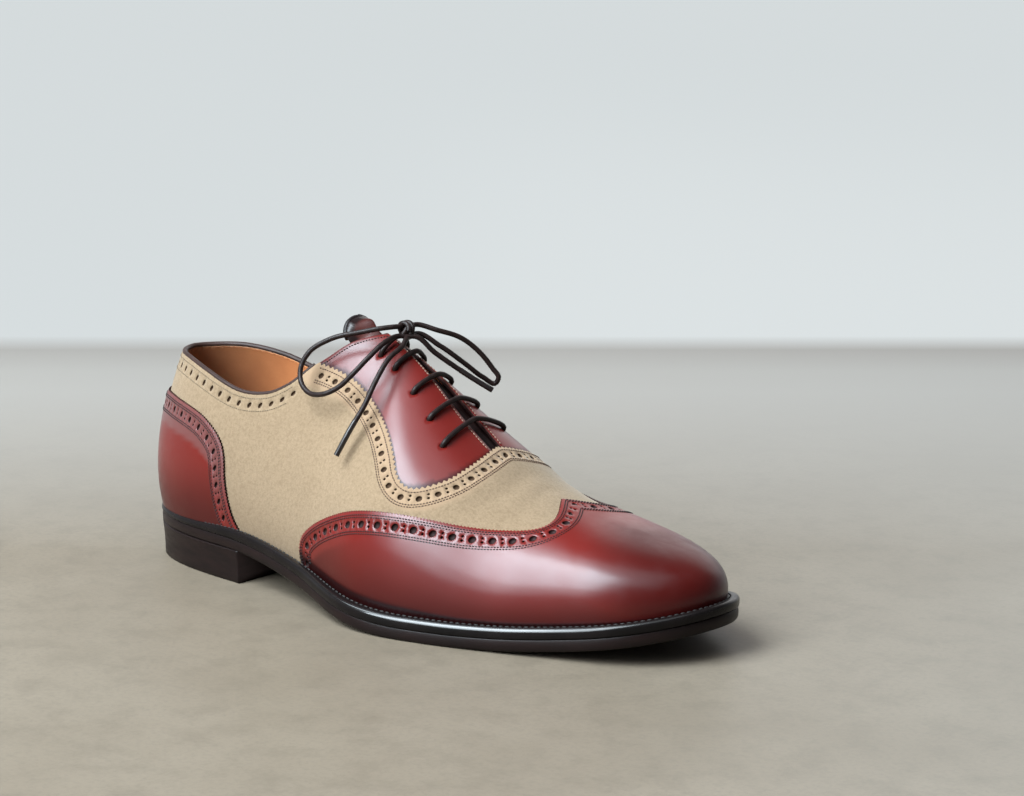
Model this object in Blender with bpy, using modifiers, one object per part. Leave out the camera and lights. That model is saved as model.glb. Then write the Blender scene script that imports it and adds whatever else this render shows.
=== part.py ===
"""Spectator wingtip oxford, right shoe: a leather-soled lace-up with suede vamp and quarters.

Frame: metres, +X to the toe, +Y to the inner (medial) side, +Z up. The origin is on the floor under
the middle of the heel. Every upper piece is a stretch of one surface, the last, so all of them follow
when a size of the last is changed.
"""

import math

import bmesh
import bpy
import numpy as np
from mathutils import Vector
from mathutils.geometry import delaunay_2d_cdt

# Last: the form that the upper is drawn over
LAST_LENGTH = 0.290
BALL_WIDTH = 0.094
INSTEP_HEIGHT = 0.108

# Bottom
HEEL_LENGTH = 0.075
HEEL_HEIGHT = 0.0142
HEEL_TAPER = 0.0008
OUTSOLE_THICKNESS = 0.0050
WELT_THICKNESS = 0.0027
WELT_STEP = 0.0004
SOLE_BEVEL = 0.0008
LEDGE_WIDTH = 0.0076
TOE_SPRING = 0.0115
INSOLE_RISE = 0.0012

# Upper and its pieces
UPPER_WALL = 0.0022
OVERLAY_THICKNESS = 0.0010
FACING_WALL = 0.0016
FACING_DROP = 0.0004
TONGUE_WALL = 0.0020
BINDING_DIAMETER = 0.0018
CLEARANCE = 0.0003
OVERLAY_CLEARANCE = 0.0004
INLAY_CLEARANCE = 0.00065
TONGUE_CLEARANCE = 0.0008

# Lace
LACE_DIAMETER = 0.0022
KNOT_LENGTH = 0.0095
KNOT_WIDTH = 0.0080
KNOT_HEIGHT = 0.0075
BOW_UNIT = 0.001

# How finely the last is divided: columns heel to toe, rows from feather to ridge on each side
COLUMNS = 40
ROWS = 12

SOLE_STACK = OUTSOLE_THICKNESS + CLEARANCE + WELT_THICKNESS + CLEARANCE
HEEL_RISE = HEEL_HEIGHT + CLEARANCE
WELT_TUCK = UPPER_WALL + 2 * CLEARANCE
MEDIAL = 1.0
LATERAL = -1.0


def table(columns, *rows):
    """Named columns from one row of numbers for each section."""
    return dict(zip(columns.split(), np.array(rows, float).T))


# Feather edge in plan: shares of LAST_LENGTH along, of BALL_WIDTH across
PLAN = table(
    "station medial lateral swing",
    (0.030, 0.195, 0.205, 0.000),
    (0.120, 0.332, 0.338, 0.000),
    (0.250, 0.330, 0.375, -0.009),
    (0.400, 0.304, 0.430, -0.014),
    (0.550, 0.430, 0.541, -0.013),
    (0.660, 0.485, 0.505, -0.004),
    (0.760, 0.474, 0.440, 0.012),
    (0.860, 0.412, 0.365, 0.038),
    (0.940, 0.288, 0.286, 0.058),
    (0.985, 0.152, 0.158, 0.075),
)

# Ridge line over the top: height is a share of INSTEP_HEIGHT, shift a share of BALL_WIDTH.
# Behind the throat it closes the last over the open collar.
RIDGE = table(
    "station height shift",
    (0.10, 1.240, 0.005),
    (0.25, 1.175, 0.000),
    (0.36, 1.100, 0.005),
    (0.42, 1.040, 0.015),
    (0.50, 0.915, 0.025),
    (0.60, 0.710, 0.027),
    (0.70, 0.535, 0.037),
    (0.80, 0.440, 0.042),
    (0.90, 0.385, 0.060),
)
RIDGE_START = 0.105
RIDGE_END = 0.905

# Ribs from feather to ridge: wall is a share of the rib's height, lean a share of BALL_WIDTH,
# crown a share of the rib's reach in plan
RIB = table(
    "station wall lean_lateral lean_medial crown",
    (0.00, 0.38, 0.110, 0.110, 0.16),
    (0.15, 0.52, 0.085, 0.065, 0.24),
    (0.30, 0.50, 0.056, 0.035, 0.25),
    (0.45, 0.45, 0.085, 0.050, 0.30),
    (0.60, 0.56, 0.095, 0.087, 0.59),
    (0.75, 0.53, 0.085, 0.070, 0.565),
    (0.90, 0.70, 0.060, 0.056, 0.68),
    (1.00, 0.69, 0.035, 0.035, 0.62),
)

# Width of the welt's ledge outside the feather edge, in shares of LEDGE_WIDTH
LEDGE = table(
    "station width",
    (0.00, 0.197),
    (0.20, 0.395),
    (0.35, 0.592),
    (0.55, 1.000),
    (0.75, 0.842),
    (1.00, 0.855),
)

# Profile of the bottom, in shares of LAST_LENGTH: the heel seat is level up to ARCH_START, the tread
# is level between ARCH_END and SPRING_START, and the toe lifts from there
ARCH_START = 0.21
ARCH_END = 0.63
SPRING_START = 0.675

# Edges of the upper's pieces: rise is 0 at the feather edge and 1 at the ridge
COLLAR_EDGE = table(
    "station rise",
    (0.000, 0.470),
    (0.035, 0.463),
    (0.073, 0.450),
    (0.123, 0.424),
    (0.166, 0.403),
    (0.204, 0.393),
    (0.238, 0.401),
    (0.269, 0.426),
    (0.292, 0.463),
    (0.310, 0.506),
    (0.325, 0.562),
    (0.335, 0.600),
)
FACING_EDGE = table(
    "station rise",
    (0.335, 0.600),
    (0.380, 0.622),
    (0.423, 0.634),
    (0.466, 0.630),
    (0.503, 0.615),
    (0.531, 0.590),
    (0.553, 0.551),
    (0.569, 0.508),
    (0.585, 0.488),
    (0.604, 0.500),
    (0.627, 0.563),
    (0.649, 0.672),
    (0.662, 0.835),
    (0.664, 1.000),
)
FACING_TOP = table(
    "station rise",
    (0.335, 0.600),
    (0.351, 0.660),
    (0.371, 0.755),
    (0.393, 0.845),
    (0.405, 0.915),
    (0.411, 0.970),
)
WING_EDGE = table(
    "station rise",
    (0.398, 0.000),
    (0.396, 0.046),
    (0.402, 0.093),
    (0.420, 0.138),
    (0.447, 0.188),
    (0.480, 0.238),
    (0.515, 0.284),
    (0.553, 0.327),
    (0.595, 0.372),
    (0.642, 0.422),
    (0.700, 0.492),
    (0.745, 0.555),
    (0.776, 0.605),
    (0.801, 0.675),
    (0.814, 0.765),
    (0.815, 0.870),
    (0.806, 1.000),
)
COUNTER_EDGE = table(
    "station rise",
    (0.000, 0.345),
    (0.040, 0.340),
    (0.082, 0.325),
    (0.138, 0.298),
    (0.172, 0.272),
    (0.198, 0.238),
    (0.211, 0.198),
    (0.217, 0.142),
    (0.225, 0.086),
    (0.236, 0.035),
    (0.250, 0.000),
)
TONGUE_EDGE = table(
    "station rise",
    (0.342, 1.000),
    (0.341, 0.930),
    (0.343, 0.860),
    (0.351, 0.790),
    (0.372, 0.752),
    (0.420, 0.740),
    (0.500, 0.735),
    (0.600, 0.740),
    (0.680, 0.760),
    (0.705, 0.800),
    (0.712, 0.880),
    (0.713, 1.000),
)

# Slit between the two facings, as shares from the ridge to the feather edge
SLIT_LATERAL = 0.045
SLIT_MEDIAL = 0.030
SLIT_LATERAL_TOP = 0.010
SLIT_MEDIAL_TOP = 0.125

# Lace bars across the slit, reaching as far down each facing, in shares from the ridge to the feather
BARS = table(
    "station reach",
    (0.432, 0.190),
    (0.468, 0.185),
    (0.520, 0.185),
    (0.567, 0.196),
    (0.608, 0.235),
)
OVERLAY_FOOT = 0.012
KNOT_STATION = 0.435

# Free lace of the bow: routes of loops and ends from the knot's centre, in steps of BOW_UNIT
LOOP_LATERAL = (
    (-0.9, -4.1, 1.6), (-3.9, -9.1, 1.4), (-11.9, -15.1, -0.5), (-22.8, -22.1, -3.8), (-29.6, -28.1, -9.5),
    (-31.2, -31.1, -15.2), (-28.9, -33.6, -21.0), (-23.1, -35.1, -24.5), (-15.2, -35.1, -24.1),
    (-8.4, -32.1, -20.4), (-4.2, -29.1, -15.5), (-1.1, -22.1, -8.8), (0.1, -13.1, -3.5), (0.0, -3.7, -2.3),
)
LOOP_MEDIAL = (
    (1.2, 4.5, 1.5), (7.7, 10.9, -1.0), (13.5, 18.9, -4.6), (18.5, 25.9, -11.6), (21.9, 29.9, -18.4),
    (24.0, 31.4, -22.4), (22.7, 30.9, -25.0), (19.3, 26.9, -22.2), (15.1, 19.9, -15.7), (9.2, 11.0, -7.6),
    (2.0, 3.4, -2.2),
)
END_LATERAL = (
    (2.5, -2.3, -3.0), (4.6, -7.5, -5.4), (4.9, -16.0, -9.2), (5.8, -25.1, -17.0), (6.2, -33.1, -26.6),
    (4.0, -39.1, -35.6), (0.7, -44.1, -46.1),
)
END_MEDIAL = (
    (3.9, 1.0, -2.7), (9.6, 7.2, -9.8), (16.5, 15.4, -17.7), (22.3, 21.4, -23.3), (26.1, 24.9, -26.5),
)

COLOURS = {
    "suede": ((0.60, 0.47, 0.28), 0.95),
    "oxblood": ((0.16, 0.030, 0.025), 0.30),
    "sole_black": ((0.018, 0.014, 0.013), 0.35),
    "welt_black": ((0.022, 0.017, 0.016), 0.28),
    "lining_tan": ((0.36, 0.16, 0.06), 0.50),
    "lace_brown": ((0.022, 0.015, 0.015), 0.55),
    "dark_edge": ((0.030, 0.012, 0.012), 0.40),
}


def hermite(x, stations, values):
    """A smooth curve through the rows, straight on beyond the first and last."""
    slopes = np.gradient(values, stations)
    inside = np.clip(x, stations[0], stations[-1])
    index = np.clip(np.searchsorted(stations, inside, side="right") - 1, 0, len(stations) - 2)
    step = stations[index + 1] - stations[index]
    t = (inside - stations[index]) / step
    start = (1 + 2 * t) * (1 - t) ** 2 * values[index] + t * (1 - t) ** 2 * step * slopes[index]
    end = t * t * (3 - 2 * t) * values[index + 1] + t * t * (t - 1) * step * slopes[index + 1]
    beyond = np.minimum(x - stations[0], 0) * slopes[0] + np.maximum(x - stations[-1], 0) * slopes[-1]
    return start + end + beyond


def read(rows, column, station):
    """One named column of a table, at any station."""
    return hermite(np.asarray(station, float), rows["station"], rows[column])


def ease(t):
    """Smooth step from 0 to 1."""
    t = np.clip(t, 0.0, 1.0)
    return t * t * (3 - 2 * t)


def station_of(u):
    """Share of the last's length at parameter u, with even steps round the heel and the toe."""
    return (1 - np.cos(math.pi * np.asarray(u, float))) / 2


def u_of(station):
    """Parameter u at a share of the last's length."""
    return np.arccos(np.clip(1 - 2 * np.asarray(station, float), -1.0, 1.0)) / math.pi


def last_x(station):
    """X of a station: the heel's back edge is half a heel behind the origin."""
    return -HEEL_LENGTH / 2 + LEDGE["width"][0] * LEDGE_WIDTH + station * LAST_LENGTH


def bed(station):
    """Height of the feather edge: heel seat, arch, tread and toe spring."""
    fall = ease((station - ARCH_START) / (ARCH_END - ARCH_START))
    spring = np.clip((station - SPRING_START) / (1 - SPRING_START), 0, None) ** 2
    return SOLE_STACK + HEEL_RISE * (1 - fall) + TOE_SPRING * spring


def feather(u, side):
    """Plan point of the feather edge on one side."""
    station = station_of(u)
    roundness = np.sqrt(np.clip(station * (1 - station), 0, None))
    inside = np.clip(station, PLAN["station"][0], PLAN["station"][-1])
    row_roundness = np.sqrt(PLAN["station"] * (1 - PLAN["station"]))
    half = np.where(
        side > 0,
        hermite(inside, PLAN["station"], PLAN["medial"] / row_roundness),
        hermite(inside, PLAN["station"], PLAN["lateral"] / row_roundness),
    )
    y = (read(PLAN, "swing", station) + side * half * roundness) * BALL_WIDTH
    return last_x(station), y


def plan_normal(u, side):
    """Unit normal of the feather edge in plan, pointing out."""
    step = 0.001
    before_x, before_y = feather(np.clip(u - step, 0, 1), side)
    after_x, after_y = feather(np.clip(u + step, 0, 1), side)
    run_x = after_x - before_x
    run_y = after_y - before_y
    length = np.hypot(run_x, run_y)
    at_end = (u <= step) | (u >= 1 - step)
    normal_x = np.where(at_end, np.where(u < 0.5, -1.0, 1.0), -side * run_y / length)
    normal_y = np.where(at_end, 0.0, side * run_x / length)
    return normal_x, normal_y


def ridge(station):
    """Point of the ridge line at its own station."""
    x = last_x(station)
    y = read(RIDGE, "shift", station) * BALL_WIDTH
    z = read(RIDGE, "height", station) * INSTEP_HEIGHT
    return x, y, z


def last_point(u, v):
    """The last's surface: u runs heel to toe, v from -1 (lateral feather) over 0 (ridge) to 1."""
    u, v = np.broadcast_arrays(np.asarray(u, float), np.asarray(v, float))
    side = np.where(v < 0, LATERAL, MEDIAL)
    station = station_of(u)
    foot_x, foot_y = feather(u, side)
    foot_z = bed(station)
    top_station = RIDGE_START + (RIDGE_END - RIDGE_START) * station
    top_x, top_y, top_z = ridge(top_station)
    nudge = 0.001
    slope = (ridge(top_station + nudge)[2] - top_z) / (nudge * LAST_LENGTH)
    normal_x, normal_y = plan_normal(u, side)
    reach = np.hypot(foot_x - top_x, foot_y - top_y)
    along_x = (foot_x - top_x) / reach
    along_y = (foot_y - top_y) / reach
    wall = read(RIB, "wall", station) * (top_z - foot_z)
    lean = np.where(v < 0, read(RIB, "lean_lateral", station), read(RIB, "lean_medial", station)) * BALL_WIDTH
    crown = read(RIB, "crown", station) * reach
    foot = np.stack([foot_x, foot_y, foot_z], -1)
    foot_handle = np.stack([foot_x + normal_x * lean, foot_y + normal_y * lean, foot_z + wall], -1)
    top_handle = np.stack([top_x + along_x * crown, top_y + along_y * crown, top_z + slope * along_x * crown], -1)
    top = np.stack([top_x, top_y, top_z], -1)
    t = (1 - np.abs(v))[..., None]
    rib = (1 - t) ** 3 * foot + 3 * (1 - t) ** 2 * t * foot_handle
    return rib + 3 * (1 - t) * t * t * top_handle + t ** 3 * top


def slopes_at(u, v):
    """Rates of change of the surface along u and v, kept off the seams where they vanish."""
    step = 0.002
    u = np.clip(u, 2 * step, 1 - 2 * step)
    v = np.where(v < 0, -1.0, 1.0) * np.clip(np.abs(v), 2 * step, 1 - 2 * step)
    along_u = (last_point(u + step, v) - last_point(u - step, v)) / (2 * step)
    along_v = (last_point(u, v + step) - last_point(u, v - step)) / (2 * step)
    return along_u, along_v


def last_normal(u, v):
    """Outward unit normal of the last. On the heel and toe centre lines both sides share one."""
    u, v = np.broadcast_arrays(np.asarray(u, float), np.asarray(v, float))
    along_u, along_v = slopes_at(u, v)
    normal = np.cross(along_u, along_v)
    normal /= np.linalg.norm(normal, axis=-1, keepdims=True)
    mirror_u, mirror_v = slopes_at(u, -v)
    mirrored = np.cross(mirror_u, mirror_v)
    mirrored /= np.linalg.norm(mirrored, axis=-1, keepdims=True)
    seam = ((u < 1e-6) | (u > 1 - 1e-6) | (np.abs(v) < 1e-6))[..., None]
    shared = normal + mirrored
    shared /= np.linalg.norm(shared, axis=-1, keepdims=True)
    return np.where(seam, shared, normal)


def on_last(u, v, offset=0.0):
    """Points at a height above the last's surface."""
    return last_point(u, v) + last_normal(u, v) * offset


def edge_line(rows, side, count):
    """(u, v) points along a piece's edge, evenly spaced over the surface on a smooth chart."""
    order = np.arange(len(rows["station"]), dtype=float)
    fine = np.linspace(0, order[-1], 600)
    u = np.clip(hermite(fine, order, u_of(rows["station"])), 0, 1)
    v = side * (1 - np.clip(hermite(fine, order, rows["rise"]), 0, 1))
    steps = np.linalg.norm(np.diff(last_point(u, v), axis=0), axis=1)
    length = np.concatenate([[0], np.cumsum(steps)])
    even = np.linspace(0, length[-1], count)
    return np.stack([np.interp(even, length, u), np.interp(even, length, v)], -1)


def inset(line, distance):
    """A line moved over the surface, to its left seen from outside, by a distance in metres."""
    line = np.asarray(line, float)
    points = on_last(line[:, 0], line[:, 1])
    run = np.gradient(points, axis=0)
    normal = last_normal(line[:, 0], line[:, 1])
    sideways = np.cross(normal, run)
    sideways *= distance / np.linalg.norm(sideways, axis=1, keepdims=True)
    along_u, along_v = slopes_at(line[:, 0], line[:, 1])
    uu = (along_u * along_u).sum(1)
    uv = (along_u * along_v).sum(1)
    vv = (along_v * along_v).sum(1)
    push_u = (along_u * sideways).sum(1)
    push_v = (along_v * sideways).sum(1)
    spread = uu * vv - uv * uv
    moved = line.copy()
    moved[:, 0] += (push_u * vv - push_v * uv) / spread
    moved[:, 1] += (push_v * uu - push_u * uv) / spread
    moved[:, 0] = np.clip(moved[:, 0], 0, 1)
    return moved


def inside_outline(points, outline):
    """Which points lie in a closed outline, and how far each is from it."""
    start = outline
    end = np.roll(outline, -1, axis=0)
    px = points[:, 0:1]
    py = points[:, 1:2]
    spans = (start[:, 1] > py) != (end[:, 1] > py)
    rise = np.where(end[:, 1] == start[:, 1], 1.0, end[:, 1] - start[:, 1])
    crossing = start[:, 0] + (py - start[:, 1]) * (end[:, 0] - start[:, 0]) / rise
    inside = (spans & (px < crossing)).sum(1) % 2 == 1
    run = end - start
    length = np.maximum((run ** 2).sum(1), 1e-18)
    t = np.clip(((px - start[:, 0]) * run[:, 0] + (py - start[:, 1]) * run[:, 1]) / length, 0, 1)
    near = np.hypot(px - start[:, 0] - t * run[:, 0], py - start[:, 1] - t * run[:, 1])
    return inside, near.min(1)


def new_object(name, mesh, material):
    """Link a mesh as one named sub-part with its own material."""
    mesh.materials.append(material)
    part = bpy.data.objects.new(name, mesh)
    shoe.objects.link(part)
    return part


def make_material(name):
    """Principled material from the colour table."""
    colour, roughness = COLOURS[name]
    material = bpy.data.materials.new(name)
    material.use_nodes = True
    shader = material.node_tree.nodes["Principled BSDF"]
    shader.inputs["Base Color"].default_value = (*colour, 1.0)
    shader.inputs["Roughness"].default_value = roughness
    shader.inputs["Metallic"].default_value = 0.0
    material.diffuse_color = (*colour, 1.0)
    return material


def panel(name, outline, height, wall, material):
    """A shell on the last inside a closed (u, v) outline: outer face at a height, wall going inwards."""
    cells = np.array([COLUMNS, ROWS], float)
    outline = np.asarray(outline, float) * cells
    columns, rows = np.meshgrid(np.arange(1, COLUMNS), np.arange(-ROWS, ROWS) + 0.5, indexing="ij")
    grid = np.stack([columns.ravel(), rows.ravel()], -1).astype(float)
    inside, near = inside_outline(grid, outline)
    grid = grid[inside & (near > 0.42)]
    flat = np.concatenate([outline, grid])
    loop = list(range(len(outline)))
    cut = delaunay_2d_cdt([Vector(p) for p in flat], [], [loop], 1, 1e-7)
    chart = np.array([tuple(p) for p in cut[0]]) / cells
    points = on_last(chart[:, 0], chart[:, 1], height)
    sheet = bmesh.new()
    corners = [sheet.verts.new(p) for p in points]
    for face in cut[2]:
        sheet.faces.new([corners[i] for i in face])
    bmesh.ops.remove_doubles(sheet, verts=sheet.verts, dist=1e-6)
    mesh = bpy.data.meshes.new(name)
    sheet.to_mesh(mesh)
    sheet.free()
    mesh.shade_smooth()
    part = new_object(name, mesh, material)
    add_wall(part, wall)
    return part


def add_wall(part, thickness):
    """Solidify an open surface on its inner side."""
    solid = part.modifiers.new("wall", "SOLIDIFY")
    solid.thickness = thickness
    solid.offset = -1.0
    solid.use_quality_normals = True


def mirrored(line):
    """The same edge on the other side."""
    return np.stack([line[:, 0], -line[:, 1]], -1)


def joined(*lines):
    """One outline from lines laid end to end, without doubled corners."""
    chain = []
    for line in lines:
        for point in line:
            if not chain or np.hypot(*(np.asarray(point) - chain[-1])) > 1e-6:
                chain.append(np.asarray(point, float))
    if np.hypot(*(chain[0] - chain[-1])) < 1e-6:
        chain.pop()
    return np.array(chain)


def steps_between(start, end, per_unit):
    """Start, end and the grid's own lines between them."""
    low, high = min(start, end), max(start, end)
    lines = np.arange(math.floor(low * per_unit), math.ceil(high * per_unit) + 1) / per_unit
    margin = 0.35 / per_unit
    inner = lines[(lines > low + margin) & (lines < high - margin)]
    values = np.concatenate([[low], inner, [high]])
    return values if start < end else values[::-1]


def foot_line(start_u, end_u, v):
    """(u, v) points along the feather edge, on the grid's columns."""
    u = steps_between(start_u, end_u, COLUMNS)
    return np.stack([u, v + 0 * u], -1)


def seam_line(u, start_v, end_v):
    """(u, v) points up or down the heel's or the toe's centre line, on the grid's rows."""
    v = steps_between(start_v, end_v, 2 * ROWS)
    return np.stack([u + 0 * v, v], -1)


def make_upper():
    """Suede vamp and quarters, one hollow wall: open at the collar, round the facings and underneath."""
    foot = foot_line(0, 1, -1)
    toe_seam = seam_line(1, -1, 1)
    collar = edge_line(COLLAR_EDGE, LATERAL, 22)
    facing = edge_line(FACING_EDGE, LATERAL, 34)
    heel_seam = seam_line(0, collar[0][1], -1)
    outline = joined(
        foot, toe_seam, mirrored(foot)[::-1], mirrored(heel_seam)[::-1],
        mirrored(collar), mirrored(facing), facing[::-1], collar[::-1], heel_seam,
    )
    return panel("upper", outline, 0.0, UPPER_WALL, suede)


def make_facing(name, side, slit, slit_top):
    """One smooth leather eyestay, let into the suede's cut-out."""
    border = edge_line(FACING_EDGE, LATERAL, 34)
    top = edge_line(FACING_TOP, LATERAL, 10)
    border = inset(border, INLAY_CLEARANCE)[:-2]
    ridge_front = np.array([border[-1][0], -slit])
    ridge_top = np.array([top[-1][0], -slit_top])
    slit_line = np.linspace(ridge_front, ridge_top, 14)
    outline = joined(border, slit_line, top[::-1][1:-1])
    if side == MEDIAL:
        outline = mirrored(outline)[::-1]
    return panel(name, outline, -FACING_DROP, FACING_WALL, oxblood)


def make_wing_cap():
    """Wing cap: smooth leather over the suede from the winged edge to the toe, both sides in one."""
    low = -(1 - OVERLAY_FOOT)
    edge = edge_line(WING_EDGE, LATERAL, 40)
    edge = edge[edge[:, 1] > low + 0.004]
    foot = foot_line(float(u_of(WING_EDGE["station"][0])), 1, low)
    seam = seam_line(1, low, -low)
    outline = joined(foot, seam, mirrored(foot)[::-1], mirrored(edge), edge[::-1])
    return panel("wing_cap", outline, OVERLAY_CLEARANCE + OVERLAY_THICKNESS, OVERLAY_THICKNESS, oxblood)


def make_heel_counter():
    """Heel counter: smooth leather round the heel, its two sides joined at the back seam."""
    low = -(1 - OVERLAY_FOOT)
    height = OVERLAY_CLEARANCE + OVERLAY_THICKNESS
    edge = edge_line(COUNTER_EDGE, LATERAL, 26)
    edge = edge[edge[:, 1] > low + 0.004]
    foot = foot_line(0, float(u_of(COUNTER_EDGE["station"][-1])), low)
    lateral = joined(foot, edge[::-1], seam_line(0, edge[0][1], low))
    counter = panel("heel_counter", lateral, height, OVERLAY_THICKNESS, oxblood)
    medial = panel("heel_counter_medial", mirrored(lateral)[::-1], height, OVERLAY_THICKNESS, oxblood)
    whole = bmesh.new()
    whole.from_mesh(counter.data)
    whole.from_mesh(medial.data)
    bmesh.ops.remove_doubles(whole, verts=whole.verts, dist=1e-6)
    whole.to_mesh(counter.data)
    whole.free()
    bpy.data.objects.remove(medial)
    return counter


def make_tongue():
    """Tongue under the facings, with its top standing above them."""
    edge = edge_line(TONGUE_EDGE, LATERAL, 30)
    outline = joined(edge, mirrored(edge)[::-1])
    depth = UPPER_WALL + TONGUE_CLEARANCE
    return panel("tongue", outline, -depth, TONGUE_WALL, oxblood)


def rim_columns():
    """Columns of the bottom's outline: the grid's own and both ends of the level tread."""
    tread_ends = u_of([ARCH_END, SPRING_START])
    return np.sort(np.concatenate([np.linspace(0, 1, COLUMNS + 1), tread_ends]))


def rim(side, extra):
    """Plan points of an outline at a distance outside the feather edge, heel to toe."""
    u = rim_columns()
    x, y = feather(u, side)
    normal_x, normal_y = plan_normal(u, side)
    return np.stack([x + normal_x * extra(station_of(u)), y + normal_y * extra(station_of(u))], -1)


def station_at(x):
    """Share of the last's length at a plan position."""
    return (x - last_x(0.0)) / LAST_LENGTH


def ledge(station):
    """Width of the welt outside the feather edge."""
    return read(LEDGE, "width", station) * LEDGE_WIDTH


def on_bed(line, lift):
    """A row of plan points at a height above the bed."""
    return np.column_stack([line, bed(station_at(line[:, 0])) + lift])


def slab(name, layers, material, closed=False):
    """A plate lofted through layers from the top down, each layer being two rows of points."""
    body = bmesh.new()
    rows = []
    for first, second in layers:
        rows.append([[body.verts.new(p) for p in first], [body.verts.new(p) for p in second]])
    count = len(layers[0][0])
    for first, second in (rows[0], rows[-1]):
        for i in range(count - 1):
            body.faces.new((first[i], second[i], second[i + 1], first[i + 1]))
    for over, under in zip(rows, rows[1:]):
        for edge_over, edge_under in zip(over, under):
            for i in range(count - 1):
                body.faces.new((edge_over[i], edge_under[i], edge_under[i + 1], edge_over[i + 1]))
        if not closed:
            for i in (0, count - 1):
                body.faces.new((over[0][i], over[1][i], under[1][i], under[0][i]))
    bmesh.ops.remove_doubles(body, verts=body.verts, dist=1e-6)
    empty = [face for face in body.faces if face.calc_area() < 1e-12]
    bmesh.ops.delete(body, geom=empty, context="FACES")
    bmesh.ops.recalc_face_normals(body, faces=body.faces)
    mesh = bpy.data.meshes.new(name)
    body.to_mesh(mesh)
    body.free()
    return new_object(name, mesh, material)


def make_outsole():
    """Leather outsole: level tread under the ball, arch and toe spring, its side a step inside the welt."""
    def side(station):
        return ledge(station) - WELT_STEP

    def foot(station):
        return ledge(station) - WELT_STEP - SOLE_BEVEL
    top = WELT_THICKNESS + 2 * CLEARANCE
    layers = []
    for extra, depth in ((side, top), (side, SOLE_STACK - SOLE_BEVEL), (foot, SOLE_STACK)):
        layers.append((on_bed(rim(LATERAL, extra), -depth), on_bed(rim(MEDIAL, extra), -depth)))
    return slab("outsole", layers, sole_black)


def make_welt():
    """Welt: a ring that carries the upper and stands out round it as a ledge."""
    def inner(station):
        return -WELT_TUCK + 0 * station
    loops = []
    for extra in (ledge, inner):
        loops.append(np.concatenate([rim(LATERAL, extra), rim(MEDIAL, extra)[::-1][1:]]))
    layers = []
    for depth in (CLEARANCE, CLEARANCE + WELT_THICKNESS):
        layers.append((on_bed(loops[0], -depth), on_bed(loops[1], -depth)))
    return slab("welt", layers, welt_black, closed=True)


def make_insole():
    """Insole: fills the welt's ring and rises a little inside the upper."""
    def extra(station):
        return -WELT_TUCK - CLEARANCE + 0 * station
    layers = []
    for lift in (INSOLE_RISE, -WELT_THICKNESS - CLEARANCE):
        layers.append((on_bed(rim(LATERAL, extra), lift), on_bed(rim(MEDIAL, extra), lift)))
    return slab("insole", layers, lining_tan)


def make_heel():
    """Heel: one stacked block with a straight breast and a flat bottom on the floor."""
    breast_x = HEEL_LENGTH / 2
    behind = last_x(station_of(rim_columns())) < breast_x * 0.94
    layers = []
    for taper, grounded in ((0.0, False), (HEEL_TAPER, True)):
        rows = []
        for side in (LATERAL, MEDIAL):
            line = rim(side, lambda station: ledge(station) - WELT_STEP - taper)
            breast_y = np.interp(breast_x, line[:, 0], line[:, 1])
            line = np.vstack([line[behind], (breast_x, breast_y)])
            row = on_bed(line, -SOLE_STACK - CLEARANCE)
            if grounded:
                row[:, 2] = 0.0
            rows.append(row)
        layers.append(rows)
    return slab("heel", layers, sole_black)


def tube(name, points, diameter, material):
    """A round cord through points already evenly spaced."""
    curve = bpy.data.curves.new(name, "CURVE")
    curve.dimensions = "3D"
    curve.bevel_depth = diameter / 2
    curve.bevel_resolution = 2
    curve.use_fill_caps = True
    line = curve.splines.new("POLY")
    line.points.add(len(points) - 1)
    for slot, point in zip(line.points, points):
        slot.co = (*point, 1.0)
    curve.materials.append(material)
    part = bpy.data.objects.new(name, curve)
    shoe.objects.link(part)
    return part


def smooth_route(route, spacing):
    """Evenly spaced points on a smooth curve through a route from the knot."""
    route = knot_centre() + np.array(route, float) * BOW_UNIT
    reach = np.concatenate([[0], np.cumsum(np.linalg.norm(np.diff(route, axis=0), axis=1))])
    fine = np.linspace(0, reach[-1], 400)
    curve = np.stack([hermite(fine, reach, route[:, axis]) for axis in range(3)], -1)
    length = np.concatenate([[0], np.cumsum(np.linalg.norm(np.diff(curve, axis=0), axis=1))])
    even = np.linspace(0, length[-1], max(3, round(length[-1] / spacing) + 1))
    return np.stack([np.interp(even, length, curve[:, axis]) for axis in range(3)], -1)


def make_binding():
    """Folded binding that rims the collar from one facing round the heel to the other."""
    collar = edge_line(COLLAR_EDGE, LATERAL, 30)
    raised = inset(collar, CLEARANCE + BINDING_DIAMETER / 2)
    raised[0, 0] = 0.0
    path = np.concatenate([raised[::-1], mirrored(raised)[1:]])[1:-1]
    points = on_last(path[:, 0], path[:, 1], -UPPER_WALL / 2)
    return tube("collar_binding", points, BINDING_DIAMETER, dark_edge)


def make_lace_bars():
    """Straight bars of lace across the slit, each lying on both facings."""
    height = LACE_DIAMETER / 2 + CLEARANCE - FACING_DROP
    for number, (station, reach) in enumerate(zip(BARS["station"], BARS["reach"]), 1):
        v = np.linspace(-reach, reach, 11)
        points = on_last(u_of(station) + 0 * v, v, height)
        tube(f"lace_bar_{number}", points, LACE_DIAMETER, lace_brown)


def knot_centre():
    """The knot sits on the top bar."""
    lift = -FACING_DROP + CLEARANCE + LACE_DIAMETER + CLEARANCE + KNOT_HEIGHT / 2
    return on_last(u_of(KNOT_STATION), 0.0, lift)


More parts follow.
